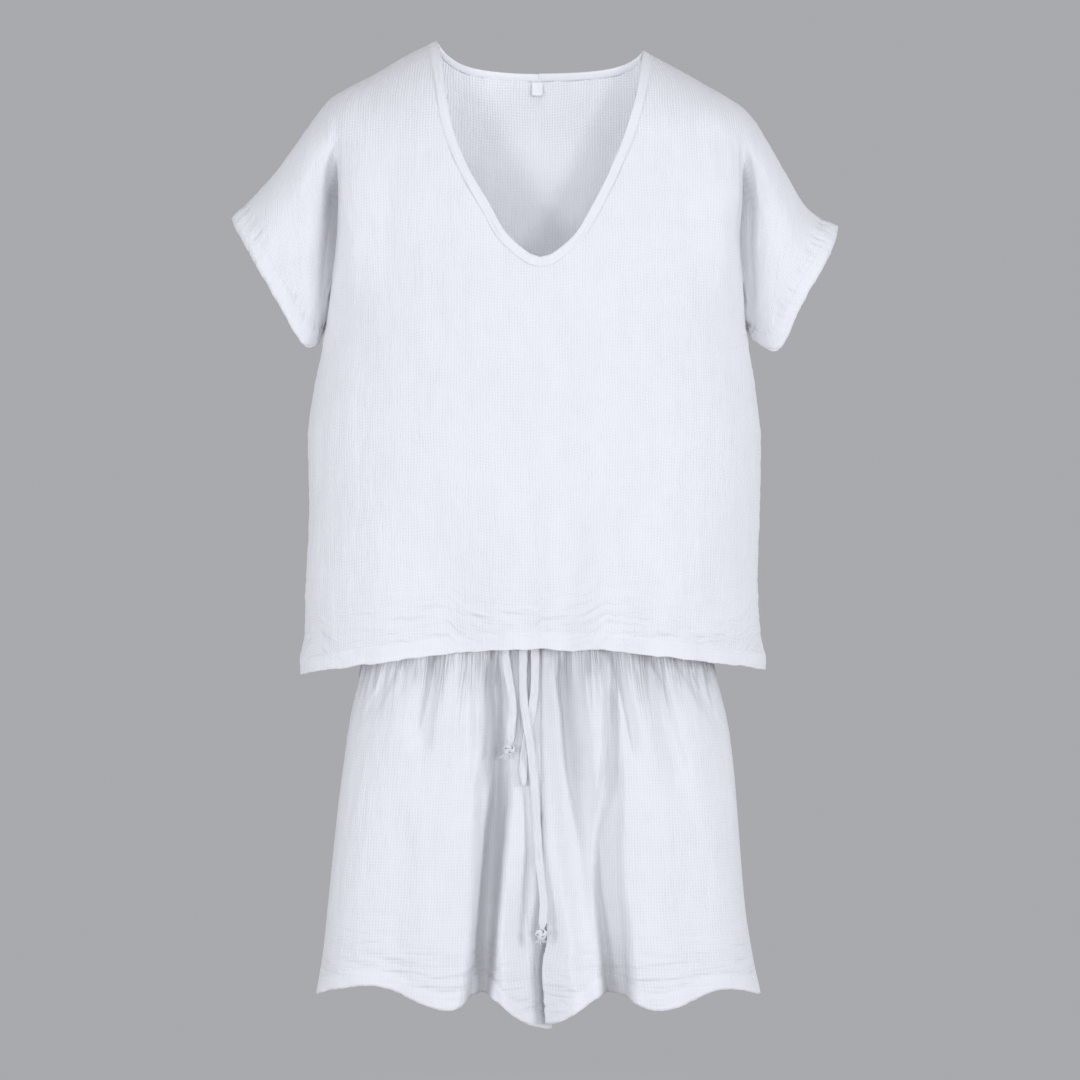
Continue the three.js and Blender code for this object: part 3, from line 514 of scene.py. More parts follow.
def shorts_point(face, side, across, down):
    """The outer face of a leg: across from the outseam to the centre, down from waist to hem."""
    quarter = f"{face}_{side}"
    hem = read(LEG_HEM[quarter], "across", "z", across)
    z = mix(WAIST_SEAM_Z - SEAM_GAP, hem, down)
    outer = read(SHORTS_SIDE, "z", side, z)
    below_crotch = max(0, CROTCH_Z - z)
    edge = LEG_INNER[side]
    past_crest = ease(edge["crest_at"], 1, across)
    hem_inner = mix(edge["crest"], edge["inseam"], past_crest)
    parting = mix(edge["crest_parting"], edge["parting"], past_crest)
    drift = clamp(below_crotch / (CROTCH_Z - hem))
    spread = mix(RISE_PLANE + parting * SIDE_SIGN[side], hem_inner, drift)
    tuck = SEAM_TUCK["tuck"] * ease(SEAM_TUCK["from_z"], SEAM_TUCK["full_z"], z) * past_crest
    seam_x = RISE_PLANE + tuck + SIDE_SIGN[side] * HALF_SEAM
    inner = mix(seam_x, spread, ease(0, 1, below_crotch / LEG_SPREAD))
    full = read(SHORTS_DEPTH, "z", face, z)
    hip = quarter_round(across, HIP_ROUNDNESS)
    power = LEG_ROUNDNESS if across < 0.5 else edge["roundness"]
    leg = (1 - abs(2 * across - 1) ** power) ** (1 / power)
    above = down / crotch_share(side)
    towards = clamp((above - RISE_CURVE["start"]) / (1 - RISE_CURVE["start"]))
    at_seam = towards ** RISE_CURVE["power"]
    in_leg = ease(LEG_FORMS_FROM, 1, above)
    share = mix(in_leg, at_seam, ease(RISE_CURVE["across"], 1, across))
    back = ease(INSEAM_FROM, 1, across) * INSEAM_Y
    folds = fold_at(quarter, across, down, abs(outer - inner))
    facing = mix(hip, leg, share)
    out = facing * (full - folds * min(1, facing * FOLD_RUN["flat_edge"]))
    return Vector((mix(outer, inner, across), FACE_SIGN[face] * out + back * share, z))


def crease_at(quarter, x, z):
    """Depth of the sharper creases at a place seen from the front."""
    depth = 0
    for crease in LEG_CREASES[quarter]:
        if crease[-1]["z"] <= z <= crease[0]["z"]:
            away = x - read(crease, "z", "x", z)
            run = read(crease, "z", "right" if away < 0 else "left", z)
            flank = 1 - ease(CREASE_FLOOR * run, run, abs(away))
            depth += max(0, read(crease, "z", "depth", z)) * flank
    return depth


# ---- laying out cloth --------------------------------------------------------------------------

# What each point of a cloth carries: where it lies on the flat cloth, across and down; how far it
# is from the nearest hem and from the nearest seam; how open its weave is, with painted shade over
# the shoulders; how gathered it is, which also sets painted shade below the waist; and how much
# painted shade it gets in a crease or in the hollow beside a sleeve.
CLOTH_FACTS = (
    "cloth_across", "cloth_down", "from_hem", "from_seam", "open_weave", "gathered", "in_fold"
)
HEM_DEPTH = 18.0
HEM_WALL = 2.0
SURFACES = {}


class Spot:
    """One point of a cloth, in millimetres, with what CLOTH_FACTS lists."""

    def __init__(self, point, across, down, from_hem=FAR, from_seam=FAR, *looks):
        self.point = point
        self.facts = (across, down, from_hem, from_seam, *looks, 0.0, 0.0, 0.0)[:len(CLOTH_FACTS)]


def facts_of(mesh):
    return [mesh.verts.layers.float.get(name) for name in CLOTH_FACTS]


def lay_grid(mesh, columns, rows):
    """Adds a flat grid; gives each point of it with its column and row."""
    made = bmesh.ops.create_grid(mesh, x_segments=columns, y_segments=rows, size=1.0)["verts"]
    return [(v, round((v.co.x + 1) / 2 * columns), round((1 - v.co.y) / 2 * rows)) for v in made]


def note_taker(mesh):
    """Gives note(vert, facts, place), for what a point carries and its place on the flat cloth."""
    layers = facts_of(mesh)
    coordinates = mesh.loops.layers.uv.get("cloth")

    def note(vert, facts, place):
        for layer, value in zip(layers, facts):
            vert[layer] = value
        for loop in vert.link_loops:
            loop[coordinates].uv = place

    return note


def lay_cloth(mesh, columns, rows, spot_at):
    """Adds a grid of cloth to a mesh; spot_at(column, row) puts each of its points in the air."""
    unused = []
    note = note_taker(mesh)
    for vert, column, row in lay_grid(mesh, columns, rows):
        spot = spot_at(column, row)
        if spot is None:
            unused.append(vert)
            continue
        vert.co = spot.point * MM
        note(vert, spot.facts, (spot.facts[0] * MM, -spot.facts[1] * MM))
    bmesh.ops.delete(mesh, geom=unused, context="VERTS")


def start_cloth():
    mesh = bmesh.new()
    for name in CLOTH_FACTS:
        mesh.verts.layers.float.new(name)
    mesh.loops.layers.uv.new("cloth")
    return mesh


def turn_outwards(mesh, towards):
    """Makes all faces of an open cloth look the same way, the one that mostly meets towards."""
    bmesh.ops.remove_doubles(mesh, verts=mesh.verts[:], dist=0.000002)
    bmesh.ops.recalc_face_normals(mesh, faces=mesh.faces[:])
    facing = sum(face.normal.dot(towards) * face.calc_area() for face in mesh.faces)
    if facing < 0:
        bmesh.ops.reverse_faces(mesh, faces=mesh.faces[:])
    mesh.normal_update()


def raise_relief(mesh, height_at):
    """Moves each point along its normal by height_at(facts, point), in millimetres."""
    layers = facts_of(mesh)
    mesh.normal_update()
    moves = []
    for vert in mesh.verts:
        facts = [vert[layer] for layer in layers]
        moves.append(vert.normal * height_at(*facts, vert.co / MM) * MM)
    for vert, move in zip(mesh.verts, moves):
        vert.co += move


def as_piece(mesh, name, material):
    """Turns a finished mesh into an object with its material, smooth all over."""
    for face in mesh.faces:
        face.smooth = True
    data = bpy.data.meshes.new(name)
    mesh.to_mesh(data)
    mesh.free()
    piece = bpy.data.objects.new(name, data)
    bpy.context.scene.collection.objects.link(piece)
    piece.data.materials.append(material)
    return piece


def into_set(piece, slot, *node_names):
    """Gives a piece its body and hides the solids that it stands for; its slot is not used."""
    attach(piece, "root")
    if node_names:
        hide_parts(*node_names)
    return piece


def finish_cloth(mesh, name, material, node_name, slot, wall=0.9, hem_wall=HEM_WALL):
    """Makes the object, with a wall inwards that is thicker at a turned hem."""
    from_hem = mesh.verts.layers.float.get("from_hem")
    mesh.verts.index_update()
    turned = [v.index for v in mesh.verts if v[from_hem] < HEM_DEPTH + 1]
    SURFACES[name] = BVHTree.FromBMesh(mesh)
    piece = as_piece(mesh, name, material)
    thicker = piece.vertex_groups.new(name="turned_hem")
    if turned:
        thicker.add(turned, 1.0, "REPLACE")
    shell = piece.modifiers.new("wall", "SOLIDIFY")
    shell.thickness = hem_wall * MM
    shell.offset = -1.0
    shell.use_even_offset = False
    shell.vertex_group = thicker.name
    shell.thickness_vertex_group = wall / hem_wall
    return into_set(piece, slot, node_name)


# ---- finishes ----------------------------------------------------------------------------------

# Grains of the cloth: waves to the metre across and down it, start of the pattern and detail.
GRAINS = {
    "fine_streaks": (420.0, 60.0, 1.3, 2.0), "broad_streaks": (170.0, 34.0, 4.9, 1.0),
    "ripples": (24.0, 150.0, 6.1, 1.0), "puckers": (210.0, 150.0, 7.7, 2.0),
    "gather_lines": (230.0, 9.0, 11.7, 2.0), "patches": (52.0, 44.0, 2.2, 2.0),
    "mottle": (34.0, 12.0, 9.3, 2.0), "string_folds": (520.0, 60.0, 5.5, 2.0),
    "string_mottle": (110.0, 60.0, 3.9, 2.0),
}
# How the threads of a weave sway: waves to the metre, and the start of the pattern on each axis.
SWAY = {"waves": 130.0, "drift_waves": 24.0, "drift": 2.5, "X": 3.1, "Y": 8.4}
# What stands out from the cloth, in millimetres.
HEIGHTS = {"streaks": 0.22, "ripples": 1.5, "puckers": 0.12, "gathers": -1.2, "gaps": -0.35}
# How much each of these darkens the cloth: the plain tone, the gaps and the mottle are its own; the
# last three are painted shade, in the valleys of the gathers, below the waist and in creases and
# recesses.
SHADES = {
    "plain": 0.05, "gaps": 0.4, "mottle": 0.05, "gathers": 0.5, "gathered": 0.22, "in_fold": 0.55,
}
STRING_SHADES = {"plain": 0.15, "gaps": 0.6, "mottle": 0.12}
GAUZE_WEAVE = (335.0, 1.5)
FINE_WEAVE_BEND = 0.6
HEM_BLEND = (HEM_DEPTH - 1.5, HEM_DEPTH + 1.5)


def node(tree, kind, inputs=None, **settings):
    """Adds a node, with its settings and the values or links of its inputs."""
    made = tree.nodes.new(kind)
    for key, value in settings.items():
        setattr(made, key, value)
    for key, value in (inputs or {}).items():
        if isinstance(value, bpy.types.NodeSocket):
            tree.links.new(value, made.inputs[key])
        else:
            made.inputs[key].default_value = value
    return made


def reckon(tree, operation, *values):
    """A Math node; its result as a socket."""
    return node(tree, "ShaderNodeMath", dict(enumerate(values)), operation=operation).outputs[0]


def sums(tree):
    """Three ways to reckon in a tree: a + b, a * b, and a * b + c."""
    return [partial(reckon, tree, operation) for operation in ("ADD", "MULTIPLY", "MULTIPLY_ADD")]


def spread_over(tree, value, low, high, to_low=0.0, to_high=1.0):
    """Spreads a value from one range over another with soft ends."""
    inputs = {"Value": value, "From Min": low, "From Max": high, "To Min": to_low, "To Max": to_high}
    return node(tree, "ShaderNodeMapRange", inputs, interpolation_type="SMOOTHSTEP").outputs["Result"]


def grain(tree, place, across, down, seed, detail=1.0):
    """Noise from -1 to 1 on the cloth, so many waves to the metre across and down."""
    inputs = {"Vector": place, "Location": (seed, 2.7 * seed, 0.0), "Scale": (across, down, 1.0)}
    scaled = node(tree, "ShaderNodeMapping", inputs).outputs[0]
    inputs = {"Vector": scaled, "Scale": 1.0, "Detail": detail, "Roughness": 0.5}
    noisy = node(tree, "ShaderNodeTexNoise", inputs, noise_dimensions="2D").outputs["Fac"]
    return reckon(tree, "MULTIPLY_ADD", noisy, 2.0, -1.0)


def start_group(name, numbers, outputs):
    """A node group that is given a place and some numbers, and has numbers as its results."""
    tree = bpy.data.node_groups.new(name, "ShaderNodeTree")
    tree.interface.new_socket("Place", in_out="INPUT", socket_type="NodeSocketVector")
    for in_out, labels in (("INPUT", numbers), ("OUTPUT", outputs)):
        for label in labels:
            tree.interface.new_socket(label, in_out=in_out, socket_type="NodeSocketFloat")
    return tree, tree.nodes.new("NodeGroupInput").outputs, tree.nodes.new("NodeGroupOutput").inputs


def woven_grid(name):
    """Threads and gaps of a plain weave. Pitch is threads to the metre; Unevenness bends them."""
    tree, given, result = start_group(name, ["Pitch", "Unevenness"], ["Gaps"])
    plus, times, times_plus = sums(tree)
    place = given["Place"]
    parts = node(tree, "ShaderNodeSeparateXYZ", {0: place})
    waves = []
    for axis in ("X", "Y"):
        sway = grain(tree, place, SWAY["waves"], SWAY["waves"], SWAY[axis], 2.0)
        drift = grain(tree, place, SWAY["drift_waves"], SWAY["drift_waves"], SWAY[axis] + 2.0)
        bend = times(plus(sway, times(drift, SWAY["drift"])), given["Unevenness"])
        turns = times_plus(times(parts.outputs[axis], given["Pitch"]), 2 * math.pi, bend)
        waves.append(times_plus(reckon(tree, "SINE", turns), 0.5, 0.5))
    gaps = reckon(tree, "POWER", times(waves[0], times_plus(waves[1], 0.65, 0.35)), 1.3)
    tree.links.new(gaps, result["Gaps"])
    return tree


def crinkled_gauze(name):
    """Relief of crinkled gauze, in millimetres: streaks down the cloth and ripples above hems."""
    numbers = ["From Hem", "Streaks", "Gathered"]
    tree, given, result = start_group(name, numbers, ["Height", "Valleys"])
    plus, times, times_plus = sums(tree)

    def wave(label):
        return grain(tree, given["Place"], *GRAINS[label])

    fine, broad = (times(wave(f"{size}_streaks"), HEIGHTS["streaks"]) for size in ("fine", "broad"))
    streaks = times(plus(fine, broad), given["Streaks"])
    near_hem = spread_over(tree, given["From Hem"], 85.0, 20.0, 0.06, 1.0)
    in_band = spread_over(tree, given["From Hem"], 8.0, 20.0, 0.3, 1.0)
    ripples = times(times(wave("ripples"), HEIGHTS["ripples"]), times(near_hem, in_band))
    puckers = times(wave("puckers"), HEIGHTS["puckers"])
    lines = reckon(tree, "ABSOLUTE", wave("gather_lines"))
    # Valleys of the gathers, sunk in the relief; the finish also lays painted shade in them.
    valleys = times(spread_over(tree, lines, 0.0, 0.15, 1.0, 0.0), given["Gathered"])
    height = times_plus(valleys, HEIGHTS["gathers"], plus(plus(streaks, ripples), puckers))
    tree.links.new(height, result["Height"])
    tree.links.new(valleys, result["Valleys"])
    return tree


weave_group = woven_grid("woven grid")
gauze_group = crinkled_gauze("crinkled gauze")


def start_finish(name):
    material = bpy.data.materials.new(name)
    material.use_nodes = True
    tree = material.node_tree
    tree.nodes.clear()
    shader = node(tree, "ShaderNodeBsdfPrincipled")
    surface = node(tree, "ShaderNodeOutputMaterial", {"Surface": shader.outputs[0]})
    surface.target = "ALL"
    return material, tree, shader


def weave_of(tree, place, pitch, unevenness):
    inputs = {"Place": place, "Pitch": pitch, "Unevenness": unevenness}
    return node(tree, "ShaderNodeGroup", inputs, node_tree=weave_group).outputs["Gaps"]


def end_finish(tree, shader, colours, amount, height, looks, depth=MM):
    """Colours a shader from the first to the second by an amount, and gives it its relief."""
    inputs = {"Factor": amount, 6: (*colours[0], 1.0), 7: (*colours[1], 1.0)}
    colour = node(tree, "ShaderNodeMix", inputs, data_type="RGBA")
    tree.links.new(colour.outputs[2], shader.inputs["Base Color"])
    bump = node(tree, "ShaderNodeBump", {"Height": height, "Distance": depth, "Strength": 1.0})
    tree.links.new(bump.outputs[0], shader.inputs["Normal"])
    for label, value in looks.items():
        shader.inputs[label].default_value = value


def gauze_finish(name, colours, streaks):
    """White crinkled double gauze: open weave, streaks and ripples, matt with a soft bloom, with
    painted shade in gathers, creases, recesses and over the shoulders.
    """
    material, tree, shader = start_finish(name)
    times, times_plus = sums(tree)[1:]
    place = node(tree, "ShaderNodeUVMap", uv_map="cloth").outputs["UV"]
    facts = ("from_hem", "open_weave", "gathered", "in_fold")
    from_hem, open_weave, gathered, in_fold = (
        node(tree, "ShaderNodeAttribute", attribute_name=fact).outputs["Fac"] for fact in facts
    )
    gaps = weave_of(tree, place, *GAUZE_WEAVE)
    patches = spread_over(tree, grain(tree, place, *GRAINS["patches"]), -0.5, 0.7, 0.4, 0.68)
    # The weave's openness, with its painted shade over the shoulders, darkens its gaps.
    openness = reckon(tree, "MAXIMUM", open_weave, patches)
    gaps = times(gaps, times(openness, spread_over(tree, from_hem, *HEM_BLEND, 0.45, 1.0)))
    inputs = {"Place": place, "From Hem": from_hem, "Gathered": gathered, "Streaks": streaks}
    relief = node(tree, "ShaderNodeGroup", inputs, node_tree=gauze_group).outputs
    height = times_plus(gaps, HEIGHTS["gaps"], relief["Height"])
    # Painted shade laid over the weave: in the valleys of the gathers, below the waist, and in creases
    # and recesses.
    shading = {
        "gaps": gaps, "mottle": grain(tree, place, *GRAINS["mottle"]), "gathers": relief["Valleys"],
        "gathered": spread_over(tree, gathered, 0.2, 0.8), "in_fold": in_fold,
    }
    amount = SHADES["plain"]
    for label, share in shading.items():
        amount = times_plus(share, SHADES[label], amount)
    looks = {"Roughness": 0.92, "Specular IOR Level": 0.2, "Sheen Weight": 0.12, "Sheen Roughness": 0.5}
    end_finish(tree, shader, colours, amount, height, looks)
    return material


def fine_cloth(name, colours, pitch, depth, creases):
    """Closely woven narrow cloth, as in tape and string."""
    material, tree, shader = start_finish(name)
    times, times_plus = sums(tree)[1:]
    place = node(tree, "ShaderNodeUVMap", uv_map="cloth").outputs["UV"]
    gaps = weave_of(tree, place, pitch, FINE_WEAVE_BEND)
    folds = grain(tree, place, *GRAINS["string_folds"])
    height = times_plus(folds, creases, times(gaps, -depth))
    mottle = grain(tree, place, *GRAINS["string_mottle"])
    amount = times_plus(gaps, STRING_SHADES["gaps"], STRING_SHADES["plain"])
    amount = times_plus(mottle, STRING_SHADES["mottle"], amount)
    looks = {"Roughness": 0.88, "Specular IOR Level": 0.25, "Sheen Weight": 0.08}
    end_finish(tree, shader, colours, amount, height, looks)
    return material


def sewing_thread(name, colour):
    """Twisted cotton thread."""
    material, tree, shader = start_finish(name)
    place = node(tree, "ShaderNodeTexCoord").outputs["Object"]
    inputs = {"Vector": place, "Scale": 900.0, "Detail": 2.0, "Roughness": 0.6}
    noisy = node(tree, "ShaderNodeTexNoise", inputs).outputs["Fac"]
    shade = tuple(part * 0.9 for part in colour)
    end_finish(tree, shader, (colour, shade), noisy, noisy, {"Roughness": 0.7}, 0.0001)
    return material


# Each cloth's white and the darker colour that its gaps and mottle mix towards; in the gauze its
# painted shade mixes towards it too.
TOP_WHITE = ((0.895, 0.900, 0.918), (0.51, 0.51, 0.52))
SHORTS_WHITE = ((0.875, 0.880, 0.897), (0.50, 0.50, 0.51))
TAPE_WHITE = ((0.89, 0.893, 0.905), (0.76, 0.765, 0.775))
STRING_WHITE = ((0.88, 0.885, 0.90), (0.70, 0.705, 0.72))

top_finish = gauze_finish("top gauze", TOP_WHITE, 1.0)
shorts_finish = gauze_finish("shorts gauze", SHORTS_WHITE, 0.9)
tape_finish = fine_cloth("neck tape", TAPE_WHITE, 1100.0, 0.12, 0.1)
string_finish = fine_cloth("folded string", STRING_WHITE, 620.0, 0.16, 0.5)
thread_finish = sewing_thread("sewing thread", (0.90, 0.905, 0.92))


# ---- camera ------------------------------------------------------------------------------------

camera = bpy.data.cameras.new("camera")
camera.sensor_width = 36.0
camera.lens = 95.24
camera_at = bpy.data.objects.new("camera", camera)
camera_at.location = (0.0, -3.0, -0.5187)
camera_at.rotation_euler = (math.radians(90), 0.0, 0.0)
bpy.context.scene.collection.objects.link(camera_at)
bpy.context.scene.camera = camera_at

# ---- the drawstring, in metres -----------------------------------------------------------------

STRING = {
    "width": 0.0085, "thickness": 0.0024, "around": 20, "step": 0.0016, "flatness": 0.5,
    "clear": 0.0007, "groove": 0.28,
}
STRAND = {"thickness": 0.0020, "apart": 0.0032, "apart_at_end": 0.0056, "forward": 0.0008}
BOW_KNOT = {"at": (-0.017, -0.076, -0.595), "size": (0.028, 0.010, 0.017)}
END_KNOTS = {
    "right": {"at": (-0.0313, -0.084, -0.7325), "size": (0.012, 0.0072, 0.0105)},
    "left": {"at": (0.0014, -0.0808, -0.9215), "size": (0.012, 0.0072, 0.0105)},
}
END_STRING = {"width": 0.0042, "thickness": 0.0021}
# How far the three-leaved knot reaches along each axis before it is brought to its size.
LEAVES_REACH = (5.6, 2.2, 5.6)
KNOT_PARTS = 120
SHORT_TAIL = [
    (-0.0285, -0.076, -0.6012), (-0.034, -0.077, -0.620), (-0.0355, -0.078, -0.636),
    (-0.0325, -0.0795, -0.656), (-0.029, -0.081, -0.676), (-0.028, -0.082, -0.692),
    (-0.029, -0.083, -0.710), (-0.0305, -0.084, -0.728),
]
LONG_TAIL = [
    (-0.017, -0.076, -0.6039), (-0.0173, -0.078, -0.630), (-0.0175, -0.0805, -0.660),
    (-0.0165, -0.084, -0.684), (-0.0135, -0.088, -0.705), (-0.0095, -0.0905, -0.730),
    (-0.0065, -0.090, -0.760), (-0.004, -0.0875, -0.795), (-0.002, -0.0855, -0.832),
    (0.0015, -0.084, -0.866), (0.0038, -0.0825, -0.890), (0.002, -0.081, -0.917),
]
BOW_LOOP = [
    (-0.0056, -0.076, -0.6023), (-0.005, -0.0775, -0.635), (-0.0054, -0.0798, -0.668),
    (-0.0075, -0.0812, -0.688), (-0.0115, -0.0824, -0.711), (-0.0155, -0.0834, -0.734),
    (-0.017, -0.0844, -0.752), (-0.0165, -0.0852, -0.766),
]
# How the flat of each string turns on its way down: place along it and turn in degrees.
SHORT_TAIL_TURNS = table("at turn", (0.0, 8), (0.22, 34), (0.45, -14), (0.7, 10), (1.0, -22))
LONG_TAIL_TURNS = table(
    "at turn", (0.0, -12), (0.2, 16), (0.4, -20), (0.62, 14), (0.85, -26), (1.0, 20)
)
LOOP_TURNS = table("at turn", (0.0, 6), (0.3, -10), (0.5, 4), (0.7, -8), (1.0, 6))
# Where a string is drawn narrower: the place along it, the reach to both sides and the share.
INTO_KNOT = {"at": 1.0, "reach": 0.009, "share": 0.5}
LOOP_FOOT = {"at": 0.5, "reach": 0.017, "share": 0.48}


def distances(places):
    """How far along a line each of its places is."""
    far = [0.0]
    for before, after in zip(places, places[1:]):
        far.append(far[-1] + math.dist(before, after))
    return far


def run_length(points):
    return distances(points)[-1]


def along_route(route, step):
    """Evenly spaced points on a smooth curve through the points of a route."""
    points = [Vector(point) for point in route]
    points = [2 * points[0] - points[1], *points, 2 * points[-1] - points[-2]]
    fine = []
    for index in range(1, len(points) - 2):
        before, start, end, after = points[index - 1 : index + 3]
        for part in range(24):
            t = part / 24
            bend = (2 * before - 5 * start + 4 * end - after) * t * t
            bend += (3 * start - before - 3 * end + after) * t**3
            fine.append(0.5 * (2 * start + (end - before) * t + bend))
    fine.append(points[-2])
    far = distances(fine)
    count = round(far[-1] / step)
    spaced = []
    index = 0
    for number in range(count + 1):
        wanted = far[-1] * number / count
        while index < len(far) - 2 and far[index + 1] < wanted:
            index += 1
        share = (wanted - far[index]) / (far[index + 1] - far[index])
        spaced.append(fine[index].lerp(fine[index + 1], share))
    return spaced


def string_rings(centres, through_at, turns, closed):
    """The middle of each ring of a string, with the ways across it and through it."""
    count = len(centres)
    last = count if closed else count - 1
    rings = []
    for index in range(last + 1):
        here = index % count
        if closed:
            tangent = centres[(here + 1) % count] - centres[here - 1]
        else:
            tangent = centres[min(last, here + 1)] - centres[max(0, here - 1)]
        tangent.normalize()
        across = tangent.cross(through_at(here)).normalized()
        if turns:
            turn = math.radians(read(turns, "at", "turn", index / last))
            across.rotate(Quaternion(tangent, turn))
        rings.append((centres[here], across, across.cross(tangent).normalized()))
    return rings


def lay_string(mesh, centres, through_at, size, seed, turns=None, closed=False, slim=None):
    """A flat string along its centre points, with its flat side towards through_at(index)."""
    width, thickness = size["width"], size["thickness"]
    run = run_length(centres)
    around = STRING["around"]
    rings = string_rings(centres, through_at, turns, closed)
    last = len(rings) - 1
    note = note_taker(mesh)
    grid = lay_grid(mesh, around, last)
    for vert, column, row in grid:
        centre, across, through = rings[row]
        far = row * STRING["step"]
        along = (row % last if closed else row) * STRING["step"] / MM
        turn = 2 * math.pi * (column % around + 0.5) / around + math.pi / 2
        wide = math.copysign(abs(math.cos(turn)) ** STRING["flatness"], math.cos(turn))
        pinched = slim["share"] * ease(slim["reach"], 0, abs(slim["at"] * run - far)) if slim else 0.0
        edge = math.copysign(3.1, wide)
        ragged = 0.1 * rough(seed, along / 14, edge) + 0.07 * rough(seed + 2, along / 5, edge)
        crumple = 0.26 * rough(seed + 1, along / 7, wide * 1.6)
        crumple -= 0.3 * math.exp(-((wide / STRING["groove"]) ** 2))
        out = wide * width / 2
        deep = thickness / 2 * (1 + crumple) * (1 + 0.8 * pinched)
        co = centre + across * (out * (1 + ragged) * (1 - pinched))
        vert.co = co + through * (math.sin(turn) * deep)
        note(vert, (out / MM, along, FAR, FAR, 0.0, 0.0, 0.0), (out, -far))
    bmesh.ops.remove_doubles(mesh, verts=[vert for vert, _column, _row in grid], dist=0.0000005)


def finish_string(mesh, name, *node_names):
    open_edges = [edge for edge in mesh.edges if edge.is_boundary]
    bmesh.ops.holes_fill(mesh, edges=open_edges, sides=0)
    bmesh.ops.recalc_face_normals(mesh, faces=mesh.faces[:])
    return into_set(as_piece(mesh, name, string_finish), "string_cloth", *node_names)


def tail_of_string(name, route, node_name, seed, turns):
    mesh = start_cloth()
    centres = along_route(route, STRING["step"])
    lay_string(mesh, centres, lambda _index: Vector((0, 1, 0)), STRING, seed, turns, slim=INTO_KNOT)
    return finish_string(mesh, name, node_name), centres


def loop_of_string(name, route, node_name):
    """One string that goes down the front of the loop and comes back up behind."""
    middle = along_route(route, STRING["step"])
    last = len(middle) - 1
    strands = {"front": [], "back": []}
    for strand, sign in FACE_SIGN.items():
        for index, point in enumerate(middle):
            apart = mix(STRAND["apart"], STRAND["apart_at_end"], (index / last) ** 6) / 2
            forward = STRAND["forward"] * index / last
            strands[strand].append(point + Vector((0, sign * apart - forward, 0)))
    foot = middle[-1] + Vector((0, -STRAND["forward"], 0))
    radius = STRAND["apart_at_end"] / 2
    bend_parts = 6
    bend = []
    for part in range(1, bend_parts):
        turn = math.pi * part / bend_parts
        bend.append(foot + Vector((0, -radius * math.cos(turn), -radius * math.sin(turn))))
    centres = [*strands["front"], *bend, *reversed(strands["back"])]

    def through_at(index):
        turn = math.pi * max(0, min(bend_parts, index - last)) / bend_parts
        return Vector((0, math.cos(turn), math.sin(turn)))

    mesh = start_cloth()
    size = {"width": STRING["width"], "thickness": STRAND["thickness"]}
    lay_string(mesh, centres, through_at, size, 107, LOOP_TURNS, slim=LOOP_FOOT)
    return finish_string(mesh, name, node_name), centres


def knot_of_string(name, knot, node_name, size, seed, tilt):
    """An overhand knot pulled tight: the string follows a three-leaved knot inside its size."""
    middle = Vector(knot["at"])
    room = Vector(knot["size"]) - Vector([size["thickness"]] * 3)
    centres = []
    for part in range(KNOT_PARTS):
        turn = 2 * math.pi * part / KNOT_PARTS
        leaf = Vector((
            math.sin(turn) + 2 * math.sin(2 * turn),
            -0.9 * math.sin(3 * turn),
            math.cos(turn) - 2 * math.cos(2 * turn),
        ))
        leaf.rotate(Euler((0, math.radians(tilt), 0)))
        centres.append(middle + Vector([a * (b / c) for a, b, c in zip(leaf, room, LEAVES_REACH)]))

    def away_from_middle(index):
        away = centres[index] - middle
        return Vector((away.x, away.y * 2.5, away.z))

    mesh = start_cloth()
    lay_string(mesh, centres, away_from_middle, size, seed, closed=True)
    return finish_string(mesh, name, node_name)


def frayed_ends(name, middle, threads, spread, lean, seed):
    """Loose threads of the cut end, thin and of uneven length, that hang out of a knot."""
    mesh = start_cloth()
    coordinates = mesh.loops.layers.uv.get("cloth")
    thread_size = {"radius1": 0.00042, "radius2": 0.00016, "depth": 1.0}
    for thread in range(threads):
        part = thread / (threads - 1) * 2 - 1
        length = 0.0055 + 0.0035 * rough(seed, thread * 1.7, 0.2)
        sway = rough(seed + 1, thread * 2.3, 0.4)
        start = Vector(middle) + Vector((part * 0.0018, 0.0012 * sway, 0))
        known = len(mesh.verts)
        bmesh.ops.create_cone(mesh, cap_ends=True, segments=5, **thread_size)
        upright = [e for e in mesh.edges if abs(e.verts[0].co.z - e.verts[1].co.z) > 0.5]
        bmesh.ops.subdivide_edges(mesh, edges=upright, cuts=3)
        mesh.verts.ensure_lookup_table()
        for vert in mesh.verts[known:]:
            down = 0.5 - vert.co.z
            side = (part * spread + lean) * down + 0.0012 * sway * math.sin(3 * down)
            drop = length * down * (1 - 0.25 * abs(part))
            vert.co = start + Vector((vert.co.x + side, vert.co.y + 0.0008 * sway * down, -drop))
            for loop in vert.link_loops:
                loop[coordinates].uv = (part * 0.004, -drop)
    return into_set(as_piece(mesh, name, string_finish), "string_cloth")


short_tail, short_path = tail_of_string(
    "short_tail", SHORT_TAIL, "drawstring_tail_right", 101, SHORT_TAIL_TURNS
)
long_tail, long_path = tail_of_string(
    "long_tail", LONG_TAIL, "drawstring_tail_left", 104, LONG_TAIL_TURNS
)
bow_loop, loop_path = loop_of_string("bow_loop", BOW_LOOP, "drawstring_loop")
BOW_STRING = {"width": 0.0075, "thickness": 0.0024}
bow_knot = knot_of_string("bow_knot", BOW_KNOT, "drawstring_knot", BOW_STRING, 110, 20)
short_knot = knot_of_string(
    "short_end_knot", END_KNOTS["right"], "end_knot_right", END_STRING, 113, 15
)
long_knot = knot_of_string(
    "long_end_knot", END_KNOTS["left"], "end_knot_left", END_STRING, 116, -10
)
short_frays = frayed_ends("short_end_threads", (-0.0335, -0.084, -0.7365), 13, 0.0035, -0.0035, 119)
long_frays = frayed_ends("long_end_threads", (0.0012, -0.0805, -0.9262), 13, 0.005, 0.0008, 122)


# ---- the top in gauze --------------------------------------------------------------------------

TOP_COLUMNS = 78
SLEEVE_COLUMNS = 34
UPPER_ROWS = 94
LOWER_ROWS = 116
NECK_ROWS = 80
BACK_NECK_COLUMNS = 0.5
